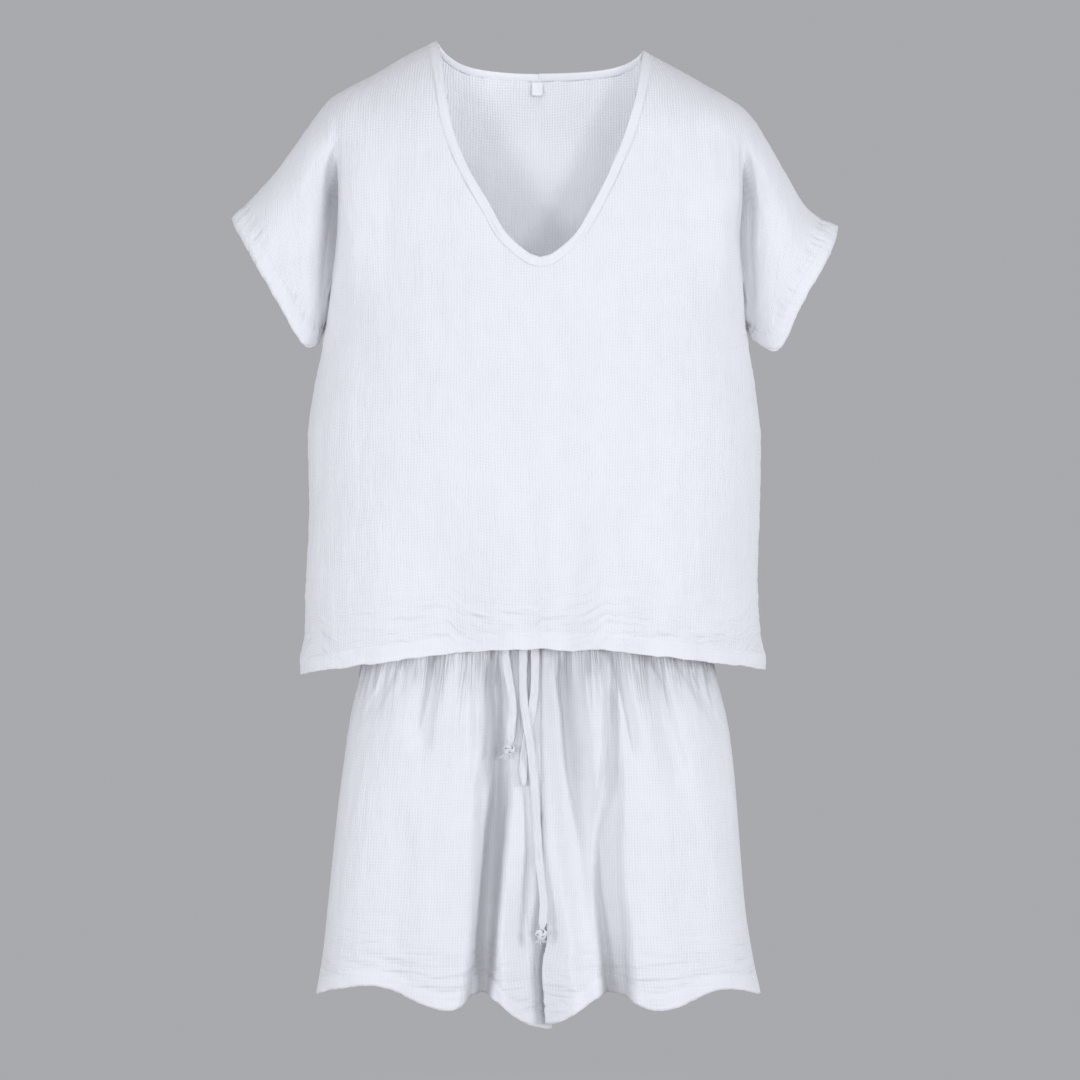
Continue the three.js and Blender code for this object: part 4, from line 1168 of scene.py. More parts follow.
# How the lines of the grid crowd together towards one end.
CROWDING = {"row": 1.25, "column": 1.4, "sleeve": 1.45, "hem": 1.6, "hem_share": 0.6, "band": 1.6}
CHART = {"step": 6.0, "columns": 43, "rows": 118, "top_z": 12.0}
BACK_WEAVE = 0.45
# Darker, more open weave over the shoulders, partly painted shade of the shoulder roll: where it
# starts, where it is full, and how uneven its end is.
SHOULDER_WEAVE_AND_SHADE = {"from_z": -150, "full_z": -72, "uneven": 22}
SEEDS = {
    "front": 1, "back": 21, "side": 31, "front_hem": 33, "back_hem": 35, "cuff": 37, "sleeve": 39,
    "band_right": 41, "band_left": 47, "shoulder_weave_and_shade": 51, "tape": 53, "outseam": 3,
    "front_right": 61, "front_left": 71, "back_right": 81, "back_left": 91,
}
# Waves of crinkled gauze: their height, and their length across and down the cloth.
CRINKLES = {
    "fine": (0.4, 5.5, 26), "broad": (0.5, 12, 55), "swell": (0.8, 50, 80),
    "ripple": (0.95, 38, 5.2), "pucker": (0.35, 6.5, 16), "roll": (0.5, 24, 5.2),
}
# The turned hem: how high its band stands, its row of stitching and the wave along its edge; and
# where the ripples above it end. Near a seam the cloth lies flat.
HEM_RELIEF = {
    "band": 0.6, "stitch_depth": 0.75, "stitch_width": 1.7, "edge_wave": 2.0, "edge_length": 26,
    "edge_reach": 36, "near": 28, "gone": 120,
}
SEAM_FLAT = 7


class BodyChart:
    """Distances along the cloth of the body: across from the centre line, and down from the top."""

    def __init__(self, face):
        step = CHART["step"]
        reach = range(-CHART["columns"], CHART["columns"] + 1)
        out = []
        for row in range(CHART["rows"]):
            z = CHART["top_z"] - step * row
            out.append([body_out(face, BODY_CENTRE + step * column, z) for column in reach])
        self.across = []
        for line in out:
            far = [0.0]
            for before, after in zip(line, line[1:]):
                far.append(far[-1] + math.hypot(step, after - before))
            middle = far[CHART["columns"]]
            self.across.append([value - middle for value in far])
        self.down = [[0.0] * len(out[0])]
        for upper, lower in zip(out, out[1:]):
            places = zip(self.down[-1], upper, lower)
            self.down.append([far + math.hypot(step, b - a) for far, a, b in places])

    def read(self, x, z):
        column = (x - BODY_CENTRE) / CHART["step"] + CHART["columns"]
        row = (CHART["top_z"] - z) / CHART["step"]
        column = min(2 * CHART["columns"] - 0.001, max(0.0, column))
        row = min(CHART["rows"] - 1.001, max(0.0, row))
        c, r = int(column), int(row)
        values = []
        for chart in (self.across, self.down):
            upper, lower = (mix(line[c], line[c + 1], column - c) for line in chart[r : r + 2])
            values.append(mix(upper, lower, row - r))
        return values


def neck_edge(side):
    """The cut edge of the front along the V, as a table from the neck point to its bottom."""
    start = {"z": NECK_POINT[side]["z"], side: NECK_POINT[side]["x"]}
    end = {"z": NECK_BOTTOM["z"], side: NECK_BOTTOM["x"]}
    return [start, *FRONT_NECK, end]


def row_share(row):
    return (row / UPPER_ROWS) ** CROWDING["row"]


def front_inner(side, row):
    if row <= NECK_ROWS:
        share = row_share(row) / row_share(NECK_ROWS)
        z = mix(NECK_POINT[side]["z"], NECK_BOTTOM["z"], share)
        return read(neck_edge(side), "z", side, z), z
    share = (row_share(row) - row_share(NECK_ROWS)) / (1 - row_share(NECK_ROWS))
    return NECK_BOTTOM["x"], mix(NECK_BOTTOM["z"], UNDERARM_Z, share)


def back_inner(_side, row):
    return BACK_NECK["x"], mix(BACK_NECK["z"], UNDERARM_Z, row_share(row))


def front_upper(side, share):
    x = mix(NECK_POINT[side]["x"], fold_top_x(side), share)
    return x, shoulder_height(x)


def back_neck_height(side, share):
    rise = mix(share ** BACK_NECK["steepness"], share**2, BACK_NECK["dished"])
    return mix(BACK_NECK["z"], NECK_POINT[side]["z"], rise)


def back_upper(side, share):
    if share <= BACK_NECK_COLUMNS:
        along = share / BACK_NECK_COLUMNS
        x = mix(BACK_NECK["x"], NECK_POINT[side]["x"], along)
        return x, back_neck_height(side, along)
    return front_upper(side, (share - BACK_NECK_COLUMNS) / (1 - BACK_NECK_COLUMNS))


INNER = {"front": front_inner, "back": back_inner}
UPPER = {"front": front_upper, "back": back_upper}


def edge_wobble(seed, along):
    """Small unevenness of a crinkled edge, in millimetres."""
    return 0.75 * rough(seed, along / 9, 0.3) + 0.5 * rough(seed + 1, along / 4.6, 0.6)


# The hollow that the sleeve makes where it hangs beside the body: its floor near the mid-plane,
# its width from the shoulder down, how much of it each sleeve has, and the painted shade laid in it.
# The body swells beside it.
RECESS = {
    "start_z": -102, "full_z": -165, "wide_z": -215, "floor": 16, "narrow": 3, "wide": 27,
    "right": 1.0, "left": 0.7, "shade": 0.75,
}
FOLD_SWELL = {"height": 13, "rise": 5, "fall": 60}


def sleeve_recess(z, out):
    """Share, from 0 to 1, by which the sleeve sinks in at a distance out from the fold line."""
    widens = clamp((RECESS["start_z"] - z) / (RECESS["start_z"] - RECESS["wide_z"])) ** 0.7
    width = mix(RECESS["narrow"], RECESS["wide"], widens)
    starts = ease(RECESS["start_z"], RECESS["full_z"], z)
    return starts * ease(0, 3, out) * (1 - ease(width - 3, width + 9, out))


def fold_swell(z, inside):
    """How far the body stands out beside the sleeve, inside from the fold line."""
    top = ease(RECESS["start_z"] + 10, RECESS["full_z"], z)
    top *= ease(UNDERARM_Z, UNDERARM_Z + 70, z)
    rise, fall = FOLD_SWELL["rise"], FOLD_SWELL["fall"]
    return FOLD_SWELL["height"] * top * (ease(0, rise, inside) * (1 - ease(rise, fall, inside)))


def weave_and_shade_at(face, x, z):
    """How open the weave is, which darkens its gaps: open all over the back, and more open over the
    shoulders with a soft uneven end, where the darker weave is partly painted shade of the shoulder
    roll.
    """
    uneven = SHOULDER_WEAVE_AND_SHADE["uneven"] * rough(SEEDS["shoulder_weave_and_shade"], x / 45, z / 60)
    shoulder_weave_and_shade = ease(SHOULDER_WEAVE_AND_SHADE["from_z"], SHOULDER_WEAVE_AND_SHADE["full_z"], z + uneven)
    return max(BACK_WEAVE if face == "back" else 0.0, shoulder_weave_and_shade)


class HalfTop:
    """Places the points of one half of a panel of the top, from its centre out to the cuff."""

    def __init__(self, face, side, chart):
        self.face = face
        self.side = side
        self.chart = chart
        part = range(TOP_COLUMNS + 1)
        self.shares = [1 - (1 - column / TOP_COLUMNS) ** CROWDING["column"] for column in part]
        self.inner = [INNER[face](side, row) for row in range(UPPER_ROWS + 1)]
        self.upper = [UPPER[face](side, share) for share in self.shares]
        self.outer = []
        for row in range(UPPER_ROWS + 1):
            z = mix(shoulder_height(fold_top_x(side)), UNDERARM_Z, row_share(row))
            self.outer.append((side_x(side, z), z))

    def upper_place(self, column, row):
        """A place above the underarm, drawn in between the four edges of the half."""
        share, down = self.shares[column], row_share(row)
        ends = ((BODY_CENTRE, side_x(self.side, UNDERARM_Z)), (UNDERARM_Z, UNDERARM_Z))
        place = []
        for axis in (0, 1):
            low = mix(*ends[axis], share)
            level = mix(self.inner[row][axis], self.outer[row][axis], share)
            upright = mix(self.upper[column][axis], low, down)
            top_corners = mix(self.upper[0][axis], self.upper[-1][axis], share)
            place.append(level + upright - mix(top_corners, low, down))
        return place

    def lower_place(self, column, row):
        share = row / LOWER_ROWS
        share = mix(share, 1 - (1 - share) ** CROWDING["hem"], CROWDING["hem_share"])

        def place_x(z):
            return mix(BODY_CENTRE, side_x(self.side, z), self.shares[column])

        hem_x = place_x(mix(UNDERARM_Z, hem_z(place_x(HEM_DIP["centre_z"])), share))
        z = mix(UNDERARM_Z, hem_z(hem_x), share)
        return place_x(z), z

    def seam_distance(self, column, row, x, z, across, down):
        if row >= UPPER_ROWS:
            return abs(self.chart.read(side_x(self.side, z), z)[0]) - abs(across)
        from_seam = down - self.chart.read(*self.upper[column])[1]
        if self.face == "front" and row <= NECK_ROWS:
            from_seam = min(from_seam, abs(x - self.inner[row][0]) - 2)
        return from_seam

    def body_spot(self, column, row):
        face, side = self.face, self.side
        if row <= UPPER_ROWS:
            x, z = self.upper_place(column, row)
        else:
            x, z = self.lower_place(column, row - UPPER_ROWS)
        point = body_point(face, x, z)
        share = self.shares[column]
        if row >= UPPER_ROWS:
            point.x += SIDE_SIGN[side] * edge_wobble(SEEDS["side"], z) * ease(0.88, 1, share)
        if row <= UPPER_ROWS:
            point.y += FACE_SIGN[face] * fold_swell(z, abs(x - side_x(side, z)))
        seed = SEEDS[f"{face}_hem"]
        hem_wave = 1.1 * edge_wobble(seed, x) + 1.8 * rough(seed + 7, x / 24, 0.4)
        point.z += hem_wave * ease(16, 0, z - hem_z(x))
        on_shoulder = row == 0 and (face == "front" or share >= BACK_NECK_COLUMNS)
        if on_shoulder or (row >= UPPER_ROWS and column == TOP_COLUMNS):
            point.y = FACE_SIGN[face] * HALF_SEAM
        across, down = self.chart.read(x, z)
        from_seam = self.seam_distance(column, row, x, z, across, down)
        return Spot(point, across, down, z - hem_z(x), from_seam, weave_and_shade_at(face, x, z))

    def sleeve_spot(self, column, row):
        face, side = self.face, self.side
        outward = ((column - TOP_COLUMNS) / SLEEVE_COLUMNS) ** CROWDING["sleeve"]
        down = mix(row_share(row), row / UPPER_ROWS, outward)
        point = sleeve_point(face, side, outward, down)
        fold, end = (sleeve_point(face, side, place, down) for place in (0, 1))
        top, bottom = (sleeve_point(face, side, outward, place) for place in (0, 1))
        from_cuff = (point - end).length
        at_cuff = ease(14, 0, from_cuff)
        along_cuff = (point - top).length
        from_seam = min(along_cuff, (point - bottom).length)
        out = math.hypot(point.x - fold.x, point.z - fold.z)
        sunk = RECESS[side] * sleeve_recess(fold.z, out)
        point.y = mix(point.y, FACE_SIGN[face] * min(abs(point.y), RECESS["floor"]), sunk)
        point += (end - fold).normalized() * edge_wobble(SEEDS["cuff"], down * 150) * at_cuff
        near_top = ease(12, 0, (point - top).length) * ease(0, 0.3, outward)
        point.z += edge_wobble(SEEDS["sleeve"], point.x) * near_top
        if row in (0, UPPER_ROWS):
            point.y = FACE_SIGN[face] * HALF_SEAM
        fold_across, fold_down = self.chart.read(fold.x, fold.z)
        across = fold_across + SIDE_SIGN[side] * (point - fold).length
        fold_top = (fold_top_x(side), shoulder_height(fold_top_x(side)))
        from_top = self.chart.read(*fold_top)[1] + along_cuff
        from_cuff += 5 * max(0, from_cuff - HEM_DEPTH - 1)
        flat_down = mix(fold_down, from_top, ease(0, 0.4, outward))
        # The hollow beside the body gets painted shade by how far it sinks.
        looks = (weave_and_shade_at(face, point.x, point.z), 0.0, RECESS["shade"] * sunk)
        return Spot(point, across, flat_down, from_cuff, from_seam, *looks)

    def spot_at(self, column, row):
        if column <= TOP_COLUMNS:
            return self.body_spot(column, row)
        return self.sleeve_spot(column, row) if row <= UPPER_ROWS else None


def gauze_relief(seed, across, down, from_hem, from_seam):
    """Crinkled gauze: upright streaks, level ripples above a hem, puckers and a stitch line in it."""
    waves = {}
    for number, (name, (height, length, fall)) in enumerate(CRINKLES.items()):
        waves[name] = height * rough(seed + number, across / length, down / fall)
    hem = HEM_RELIEF
    near_hem = ease(hem["gone"], hem["near"], from_hem)
    streaks = (waves["fine"] + waves["broad"]) * (1 - 0.5 * near_hem)
    loose = streaks + waves["swell"] + waves["ripple"] * near_hem
    in_band = hem["band"] + waves["pucker"] + waves["roll"] + 0.5 * waves["swell"]
    in_hem = ease(HEM_DEPTH + 1, HEM_DEPTH - 2.5, from_hem)
    from_stitches = (from_hem - HEM_DEPTH) / hem["stitch_width"]
    stitch_line = -hem["stitch_depth"] * math.exp(-(from_stitches**2))
    edge_wave = hem["edge_wave"] * rough(seed + len(CRINKLES), across / hem["edge_length"], 0.5)
    edge_wave *= ease(hem["edge_reach"], 0, from_hem)
    return (mix(loose, in_band, in_hem) + stitch_line + edge_wave) * ease(0, SEAM_FLAT, from_seam)


def top_panel(face, material):
    mesh = start_cloth()
    chart = BodyChart(face)
    for side in SIDES:
        half = HalfTop(face, side, chart)
        lay_cloth(mesh, TOP_COLUMNS + SLEEVE_COLUMNS, UPPER_ROWS + LOWER_ROWS, half.spot_at)
    turn_outwards(mesh, Vector((0, FACE_SIGN[face], 0)))
    raise_relief(mesh, lambda *facts: gauze_relief(SEEDS[face], *facts[:4]))
    return finish_cloth(mesh, f"{face}_of_top", material, f"top_{face}", "top_gauze")


# ---- band, tape and label at the neck ----------------------------------------------------------

BAND_WALL = 0.5
BAND_ROWS = 110
BAND_COLUMNS = 8
TAPE_WALL = 0.5
TAPE_COLUMNS = 60
TAPE_ROWS = 5
TAPE_LIFT = 1.6
LABEL_WALL = 0.35
LABEL_COLUMNS = 10
LABEL_ROWS = 36
TO_FRONT = Vector((0, -1, 0))


def lifted(face, x, z, lift):
    """A point lying on the body, lift outwards along its normal."""
    near = 1.0
    out_across = body_out(face, x + near, z) - body_out(face, x - near, z)
    out_down = body_out(face, x, z + near) - body_out(face, x, z - near)
    normal = Vector((-out_across / (2 * near), FACE_SIGN[face], -out_down / (2 * near)))
    return body_point(face, x, z) + normal.normalized() * lift


def band_half(side):
    """One half of the neck band, from the neck point down to the mitre under the V."""
    edge = neck_edge(side)
    sign = SIDE_SIGN[side]
    top_z = NECK_POINT[side]["z"]
    bottom_z = NECK_BOTTOM["z"]
    shoulder = (Vector(front_upper(side, 0.2)) - Vector(front_upper(side, 0))).normalized()

    def edge_x(z):
        return read(edge, "z", side, z)

    def spot_at(column, row):
        z = mix(top_z, bottom_z, 1 - (1 - row / BAND_ROWS) ** CROWDING["band"])
        ahead = max(bottom_z, z - 1.5)
        behind = min(top_z, z + 1.5)
        run = Vector((edge_x(ahead) - edge_x(behind), ahead - behind))
        across_band = Vector((-sign * run.y, sign * run.x)).normalized()
        direction = across_band.lerp(shoulder, ease(26, 0, top_z - z)).normalized()
        below = ease(14, 0, (edge_x(z) - BODY_CENTRE) * sign)
        direction = direction.lerp(Vector((0, -1)), below).normalized()
        share = column / BAND_COLUMNS
        out = share * NECK_BAND_WIDTH
        lift = BAND_WALL + 0.05 + 0.3 * math.sin(math.pi * (0.15 + 0.85 * share))
        point = lifted("front", edge_x(z) + direction.x * out, z + direction.y * out, lift)
        return Spot(point, 1.12 * (top_z - z), out, HEM_DEPTH - 4)

    return spot_at


def neck_band(material):
    mesh = start_cloth()
    for side in SIDES:
        lay_cloth(mesh, BAND_COLUMNS, BAND_ROWS, band_half(side))
    turn_outwards(mesh, TO_FRONT)

    def height_at(along, out, *others):
        point = others[-1]
        seed = SEEDS["band_right" if point.x < BODY_CENTRE else "band_left"]
        puckers = 0.22 * rough(seed, along / 5.5, out / 9)
        puckers += 0.3 * rough(seed + 1, along / 13, out / 14)
        stitch_line = -0.3 * math.exp(-(((out - 0.8 * NECK_BAND_WIDTH) / 0.9) ** 2))
        under_neck = ease(NECK_BOTTOM["z"] + 12, NECK_BOTTOM["z"], point.z)
        centre_seam = -0.7 * math.exp(-(((point.x - BODY_CENTRE) / 0.9) ** 2)) * under_neck
        return puckers + stitch_line + centre_seam

    raise_relief(mesh, height_at)
    walls = (BAND_WALL, BAND_WALL)
    return finish_cloth(mesh, "band_around_neck", material, "neck_band", "top_gauze", *walls)


def neck_tape(material):
    """The tape inside the back of the neck, on the inner face of the back."""
    mesh = start_cloth()

    def spot_at(side, column, row):
        share = column / TAPE_COLUMNS
        x = mix(BACK_NECK["x"], NECK_POINT[side]["x"], share)
        drop = row / TAPE_ROWS * NECK_TAPE_WIDTH
        bulge = 0.2 * math.sin(math.pi * row / TAPE_ROWS)
        clear = mix(TAPE_LIFT + bulge, 1.0, ease(0.6, 1, row / TAPE_ROWS))
        point = lifted("back", x, back_neck_height(side, share) - drop, -clear)
        point.y = max(point.y, HALF_SEAM)
        return Spot(point, x, drop)

    for side in SIDES:
        lay_cloth(mesh, TAPE_COLUMNS, TAPE_ROWS, partial(spot_at, side))
    turn_outwards(mesh, TO_FRONT)
    raise_relief(mesh, lambda *facts: 0.25 * rough(SEEDS["tape"], facts[0] / 6, facts[1] / 8))
    walls = (TAPE_WALL, TAPE_WALL)
    return finish_cloth(mesh, "tape_in_back_neck", material, "neck_tape", "tape_cloth", *walls)


def size_label(material):
    """A blank label, folded in half at its foot and caught under the tape."""
    mesh = start_cloth()
    low, high = (Vector(corner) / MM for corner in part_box("size_label"))
    middle = (low + high) / 2
    height = high.z - low.z

    def spot_at(column, row):
        across = (column / LABEL_COLUMNS - 0.5) * LABEL_WIDTH
        turn = row / LABEL_ROWS
        down = min(turn, 1 - turn) * 2 * height
        at_fold = ease(height - 2.0, height, down)
        leaf = (1 if turn < 0.5 else -1) * 0.45 * (1 - at_fold)
        curl = 1.1 * (across / LABEL_WIDTH) ** 2 - 0.5 * ease(0, height, down)
        point = Vector((middle.x + across, middle.y - leaf + curl, high.z - down))
        return Spot(point, across, turn * 2 * height)

    lay_cloth(mesh, LABEL_COLUMNS, LABEL_ROWS, spot_at)
    turn_outwards(mesh, TO_FRONT)
    walls = (LABEL_WALL, LABEL_WALL)
    return finish_cloth(mesh, "blank_label", material, "size_label", "tape_cloth", *walls)


# ---- the shorts in gauze -----------------------------------------------------------------------

LEG_COLUMNS = 108
LEG_ROWS = 136
LEG_CHART = {"down": 0.62, "columns": 72}
LEG_WIDTH = 260.0
WAIST_ALLOWANCE = 20
# The gathers under the waist: their length and how uneven it is, and their heights.
GATHERS = {"length": 105, "uneven": 85, "fine": 5.5, "broad": 3.0, "floor": 2.2, "flat": 9}
# Painted shade below the waist, under the hem of the top: its length, how uneven it is, where the
# strings hang and how much of it lies behind them. The same share sets how deep the gathers' valleys
# are in the bump.
GATHER_SHADE = {"length": 95, "uneven": 65, "strings_x": -8.0, "behind": 0.3}
# How much painted shade a crease gets by its depth, more so towards the hem.
CREASE_SHADE = {"from": 5, "full": 30, "upper": 0.42, "lower": 1.1}
WAIST_STEPS = 420
WAIST_STEP = 3.0
WAIST_ROWS = 16
WAIST_WALL = 2.2
WAIST_STITCHES = (5, 27)


def gathers(seed, across, below_waist):
    """Fine gathers that hang from the waist seam: round ridges, narrow valleys, uneven lengths."""
    length = GATHERS["length"] + GATHERS["uneven"] * rough(seed, across / 16, 3.3)
    fine = abs(rough(seed + 1, across / 6.5, below_waist / 150)) ** 0.7
    broad = rough(seed + 2, across / 14, below_waist / 190)
    height = GATHERS["fine"] * fine - GATHERS["floor"] + GATHERS["broad"] * broad
    return ease(length, -25, below_waist) * height


def leg_chart(face, side):
    """Distances along the cloth of a leg at mid height, from the centre to the outseam."""
    columns = LEG_CHART["columns"]
    shares = [1 - column / columns for column in range(columns + 1)]
    return distances([shorts_point(face, side, share, LEG_CHART["down"]).xy for share in shares])


def leg_half(face, side, seed):
    """Places the points of one quarter of the shorts, from the outseam to the centre."""
    quarter = f"{face}_{side}"
    chart = leg_chart(face, side)
    sign = SIDE_SIGN[side]

    def spot_at(column, row):
        share = column / LEG_COLUMNS
        across = mix(share, 0.5 - 0.5 * math.cos(math.pi * share), 0.45)
        down = row / LEG_ROWS
        point = shorts_point(face, side, across, down)
        crease = crease_at(quarter, point.x, point.z)
        crease *= ease(0, 10, min(across, 1 - across) * LEG_WIDTH)
        point.y -= FACE_SIGN[face] * crease
        point.z += edge_wobble(seed, sign * across * LEG_WIDTH) * ease(0.94, 1, down)
        if column == 0:
            point.x += sign * 0.7 * edge_wobble(SEEDS["outseam"], point.z)
            point.y = FACE_SIGN[face] * HALF_SEAM
        if column == LEG_COLUMNS and down >= crotch_share(side):
            point.y = INSEAM_Y + FACE_SIGN[face] * HALF_SEAM
        below = WAIST_SEAM_Z - point.z
        from_hem = point.z - read(LEG_HEM[quarter], "across", "z", across)
        from_seam = min(across, 1 - across) * mix(180, 230, down)
        place = min(LEG_CHART["columns"] - 0.001, (1 - across) * LEG_CHART["columns"])
        nearest = int(place)
        cloth_across = sign * mix(chart[nearest], chart[nearest + 1], place - nearest)
        # Painted shade below the waist, under the hem of the top, with less of it behind the strings;
        # the finish also deepens the gathers' valleys by it.
        length = GATHER_SHADE["length"] + GATHER_SHADE["uneven"] * rough(seed, cloth_across / 7, 3.3)
        from_strings = ease(12, 30, abs(point.x - GATHER_SHADE["strings_x"]))
        gathered = ease(length, -25, below) * mix(GATHER_SHADE["behind"], 1, from_strings)
        # Painted shade in the creases, by their depth and more so towards the hem.
        in_fold = ease(CREASE_SHADE["from"], CREASE_SHADE["full"], crease)
        in_fold *= mix(CREASE_SHADE["upper"], CREASE_SHADE["lower"], ease(-900, -985, point.z))
        looks = (0.0, gathered, in_fold)
        return Spot(point, cloth_across, below + WAIST_ALLOWANCE, from_hem, from_seam, *looks)

    return spot_at


def keep_behind_strings(mesh):
    """Lets the strings lie on the cloth: it stays just behind them wherever they pass."""
    strings = ((short_path, STRING), (long_path, STRING), (loop_path, STRAND))
    flat_tree = KDTree(sum(len(path) for path, _size in strings))
    backs = []
    for path, size in strings:
        for point in path:
            flat_tree.insert((point.x, 0, point.z), len(backs))
            backs.append(point.y + size["thickness"] / 2 + STRING["clear"])
    flat_tree.balance()
    width = STRING["width"]
    for vert in mesh.verts:
        for _co, index, distance in flat_tree.find_range((vert.co.x, 0, vert.co.z), width):
            aside = ease(0.6 * width, width, distance)
            vert.co.y = max(vert.co.y, backs[index] - 0.003 * aside)


def shorts_panel(face, side, material):
    mesh = start_cloth()
    seed = SEEDS[f"{face}_{side}"]
    lay_cloth(mesh, LEG_COLUMNS, LEG_ROWS, leg_half(face, side, seed))
    turn_outwards(mesh, Vector((0, FACE_SIGN[face], 0)))

    def height_at(across, down, from_hem, from_seam, *_others):
        relief = gauze_relief(seed, across, down, from_hem, from_seam)
        flat = ease(0, GATHERS["flat"], from_seam)
        return relief + gathers(seed, across, down - WAIST_ALLOWANCE) * flat

    raise_relief(mesh, height_at)
    if face == "front":
        keep_behind_strings(mesh)
    name = f"{side}_leg_{face}"
    return finish_cloth(mesh, name, material, f"shorts_{face}_{side}", "shorts_gauze")


def waistband(material):
    """The casing of the elastic: a gathered ring of even height with two rows of stitching."""
    mesh = start_cloth()
    power = 2 / HIP_ROUNDNESS

    def spot_at(column, row):
        turn = 2 * math.pi * column / WAIST_STEPS
        z = mix(WAIST_TOP_Z, WAIST_SEAM_Z, row / WAIST_ROWS)
        x, y = (math.copysign(abs(way) ** power, way) for way in (math.cos(turn), math.sin(turn)))
        reach = abs(read(SHORTS_SIDE, "z", "right" if x < 0 else "left", z) - RISE_PLANE)
        depth = read(SHORTS_DEPTH, "z", "front" if y < 0 else "back", z)
        point = Vector((RISE_PLANE + reach * x, depth * y, z))
        return Spot(point, column * WAIST_STEP, WAIST_TOP_Z - z)

    lay_cloth(mesh, WAIST_STEPS, WAIST_ROWS, spot_at)
    turn_outwards(mesh, Vector((0, 0, 1)))
    outwards = sum(face.normal.xy.dot(face.calc_center_median().xy) for face in mesh.faces)
    if outwards < 0:
        bmesh.ops.reverse_faces(mesh, faces=mesh.faces[:])
        mesh.normal_update()

    def height_at(along, down, *_others):
        turn = 2 * math.pi * along / (WAIST_STEPS * WAIST_STEP)
        ring = Vector((24 * math.cos(turn), 24 * math.sin(turn), down / 30))
        pleats = abs(noise.noise(ring)) ** 0.8
        stitch_line = sum(math.exp(-(((down - row) / 1.1) ** 2)) for row in WAIST_STITCHES)
        return 1.9 * pleats - 1.1 - 0.6 * stitch_line

    raise_relief(mesh, height_at)
    walls = (WAIST_WALL, WAIST_WALL)
    return finish_cloth(mesh, "gathered_waistband", material, "waistband", "shorts_gauze", *walls)


# ---- sewing ------------------------------------------------------------------------------------

STITCH = {"length": 2.6, "gap": 1.1, "radius": 0.36, "flat": 0.8, "raised": 0.25}
HEM_STITCHES = {"parts": 120, "from_seam": 0.012}
CUFF_STITCHES = {"parts": 60, "first": 2, "last": 58}
LEG_STITCHES = {"parts": 80, "first": 2, "last": 78}


def add_stitch(mesh, at, along, normal):
    """One bead of thread lying on the cloth."""
    beside = normal.cross(along)
    for vert in bmesh.ops.create_icosphere(mesh, subdivisions=1, radius=1.0)["verts"]:
        co = vert.co.copy()
        vert.co = at + along * (co.x * STITCH["length"] / 2 * MM)
        vert.co += beside * (co.y * STITCH["radius"] * MM)
        height = co.z * STITCH["flat"] + STITCH["raised"]
        vert.co += normal * (height * STITCH["radius"] * MM)


def stitch_row(mesh, cloth, face, line):
    """Sews beads of thread along a line of (x, z) places, onto the front or back of a cloth."""
    sign = FACE_SIGN[face]
    far = distances(line)
    step = STITCH["length"] + STITCH["gap"]
    at = step / 2
    index = 0
    while at < far[-1]:
        while far[index + 1] < at:
            index += 1
        share = (at - far[index]) / (far[index + 1] - far[index])
        before, after = line[index : index + 2]
        start = Vector((mix(before[0], after[0], share) * MM, sign * 0.3, 0))
        start.z = mix(before[1], after[1], share) * MM
        hit, normal, _face, _distance = cloth.ray_cast(start, Vector((0, -sign, 0)))
        if hit is not None:
            if normal.y * sign < 0:
                normal = -normal
            run = Vector((after[0] - before[0], 0, after[1] - before[1]))
            add_stitch(mesh, hit, (run - normal * run.dot(normal)).normalized(), normal)
        at += step


def hem_line(above):
    """A line across the lower hem of the top, so far above its edge."""
    ends = [BODY_SIDE[-1][side] for side in SIDES]
    parts, inset = HEM_STITCHES["parts"], HEM_STITCHES["from_seam"]
    shares = [inset + (1 - 2 * inset) * part / parts for part in range(parts + 1)]
    return [(x, hem_z(x) + above) for x in (mix(*ends, share) for share in shares)]


def cuff_line(face, side, within):
    places = []
    for part in range(CUFF_STITCHES["first"], CUFF_STITCHES["last"] + 1):
        down = part / CUFF_STITCHES["parts"]
        fold, end = (sleeve_point(face, side, outward, down) for outward in (0, 1))
        point = sleeve_point(face, side, 1 - within / (end - fold).length, down)
        places.append((point.x, point.z))
    return places


def leg_line(face, side, above):
    places = []
    for part in range(LEG_STITCHES["first"], LEG_STITCHES["last"] + 1):
        across = part / LEG_STITCHES["parts"]
        low = shorts_point(face, side, across, 1)
        point = shorts_point(face, side, across, 1 - above / (WAIST_SEAM_Z - low.z))
        places.append((point.x, point.z))
    return places


def sew(name, slot, lines):
    mesh = bmesh.new()
    for panel, face, line in lines:
        stitch_row(mesh, SURFACES[panel.name], face, line)
    return into_set(as_piece(mesh, name, thread_finish), slot)


# ---- making the set ----------------------------------------------------------------------------

top_pieces = {face: top_panel(face, top_finish) for face in FACE_SIGN}
band = neck_band(top_finish)
tape = neck_tape(tape_finish)
label = size_label(tape_finish)
waist = waistband(shorts_finish)
quarters = [(face, side) for face in FACE_SIGN for side in SIDES]
leg_pieces = {quarter: shorts_panel(*quarter, shorts_finish) for quarter in quarters}

top_lines = []
for face, panel in top_pieces.items():
    top_lines.append((panel, face, hem_line(HEM_DEPTH)))
    for side in SIDES:
        top_lines.append((panel, face, cuff_line(face, side, HEM_DEPTH)))
sew("stitches_of_top", "top_gauze", top_lines)
leg_lines = []
for (face, side), panel in leg_pieces.items():
    leg_lines.append((panel, face, leg_line(face, side, HEM_DEPTH)))
sew("stitches_of_shorts", "shorts_gauze", leg_lines)

# ---- floor, air and light, in metres -----------------------------------------------------------

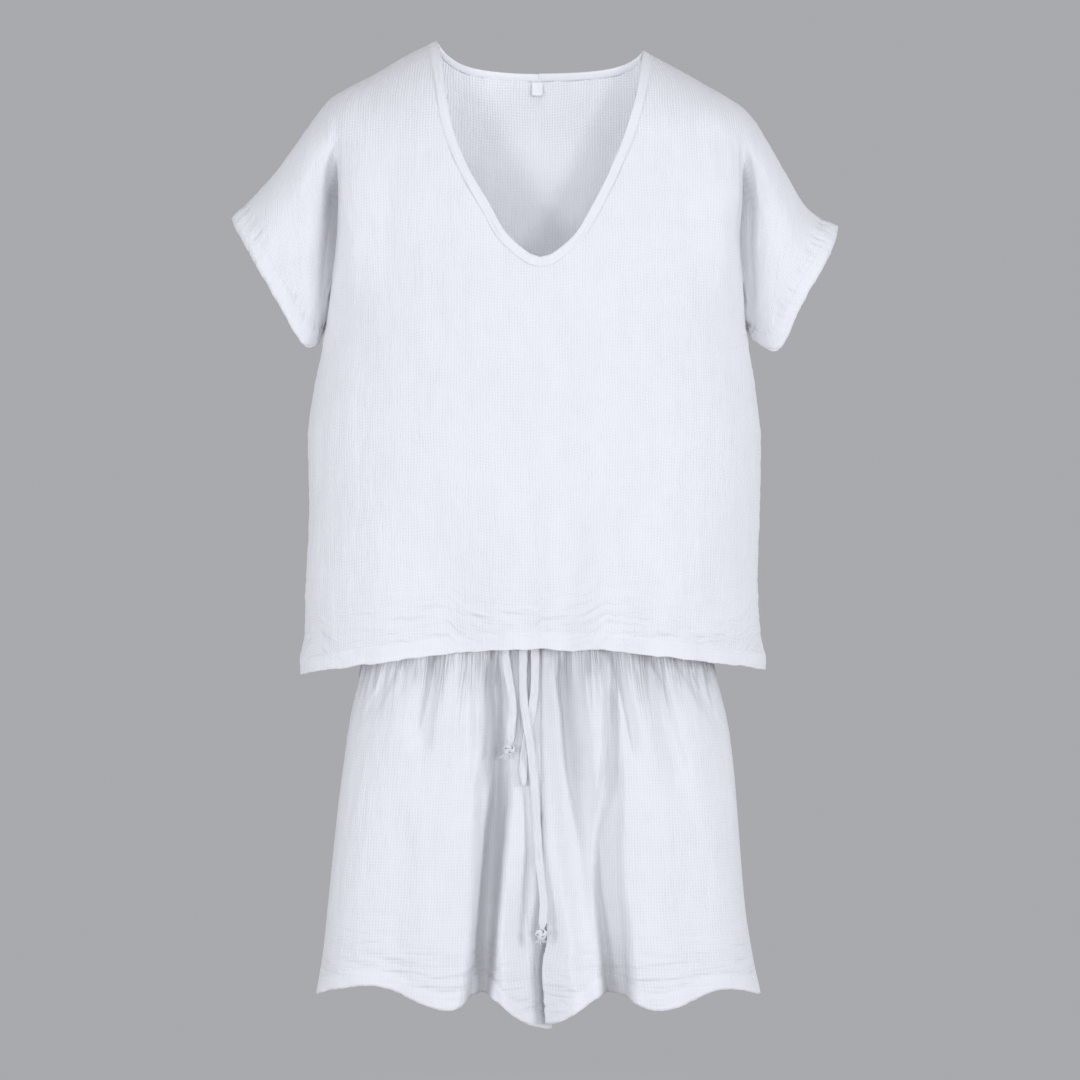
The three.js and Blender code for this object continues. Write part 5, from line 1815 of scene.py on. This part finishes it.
FLOOR = {"z": -1.25, "radius": 1.05, "fades_from": 0.45, "gone_at": 1.0}
LAMP_COLOUR = (0.95, 0.975, 1.05)
MIDDLE = (0.0, 0.0, -0.5)
LIGHTS = table(
    "name place towards size power",
    ("key_light", (0.78, -2.9, -0.45), MIDDLE, 0.35, 12.6),
    ("fill_light", (-0.85, -2.9, -0.8), MIDDLE, 0.5, 12.8),
    ("left_wide_light", (2.3, -1.9, -0.3), MIDDLE, 0.9, 24),
    ("right_wide_light", (-2.4, -1.8, -0.6), MIDDLE, 1.2, 20),
    ("top_light", (0.1, -0.9, 1.7), (0.0, 0.0, -0.4), 1.6, 5),
    ("upper_neck_light", (0.0, -0.055, -0.07), (0.0, 0.06, -0.07), 0.19, 0.08),
    ("lower_neck_light", (0.0, -0.055, -0.215), (0.0, 0.06, -0.215), 0.05, 0.018),
    ("back_light", (-1.2, 2.5, 0.2), MIDDLE, 1.8, 16),
    ("back_fill", (2.0, 1.8, -0.4), MIDDLE, 1.8, 12),
)


def studio_floor():
    """A plain disc that fades out towards its rim."""
    mesh = bmesh.new()
    radius = FLOOR["radius"]
    bmesh.ops.create_circle(mesh, cap_ends=True, cap_tris=False, segments=96, radius=radius)
    bmesh.ops.translate(mesh, verts=mesh.verts, vec=(0, 0, FLOOR["z"]))
    material, tree, shader = start_finish("studio floor")
    place = node(tree, "ShaderNodeTexCoord").outputs["Object"]
    inputs = {0: place, 1: (1, 1, 0)}
    from_middle = node(tree, "ShaderNodeVectorMath", inputs, operation="MULTIPLY").outputs[0]
    reach = node(tree, "ShaderNodeVectorMath", {0: from_middle}, operation="LENGTH")
    alpha = spread_over(tree, reach.outputs["Value"], FLOOR["gone_at"], FLOOR["fades_from"])
    tree.links.new(alpha, shader.inputs["Alpha"])
    shader.inputs["Base Color"].default_value = (0.62, 0.62, 0.63, 1)
    shader.inputs["Roughness"].default_value = 0.9
    return as_piece(mesh, "studio_floor", material)


def soft_light(name, place, towards, size, power):
    light = bpy.data.lights.new(name, "AREA")
    light.shape = "DISK"
    light.size = size
    light.energy = power
    light.color = LAMP_COLOUR
    lamp = bpy.data.objects.new(name, light)
    lamp.location = place
    lamp.rotation_euler = (Vector(towards) - Vector(place)).to_track_quat("-Z", "Y").to_euler()
    bpy.context.scene.collection.objects.link(lamp)


studio_floor()

world = bpy.data.worlds.new("studio air")
world.use_nodes = True
air = world.node_tree.nodes["Background"]
air.inputs["Color"].default_value = (0.395, 0.4, 0.415, 1)
air.inputs["Strength"].default_value = 1.0
bpy.context.scene.world = world
for light in LIGHTS:
    soft_light(**light)

bpy.context.scene.view_settings.view_transform = "Standard"
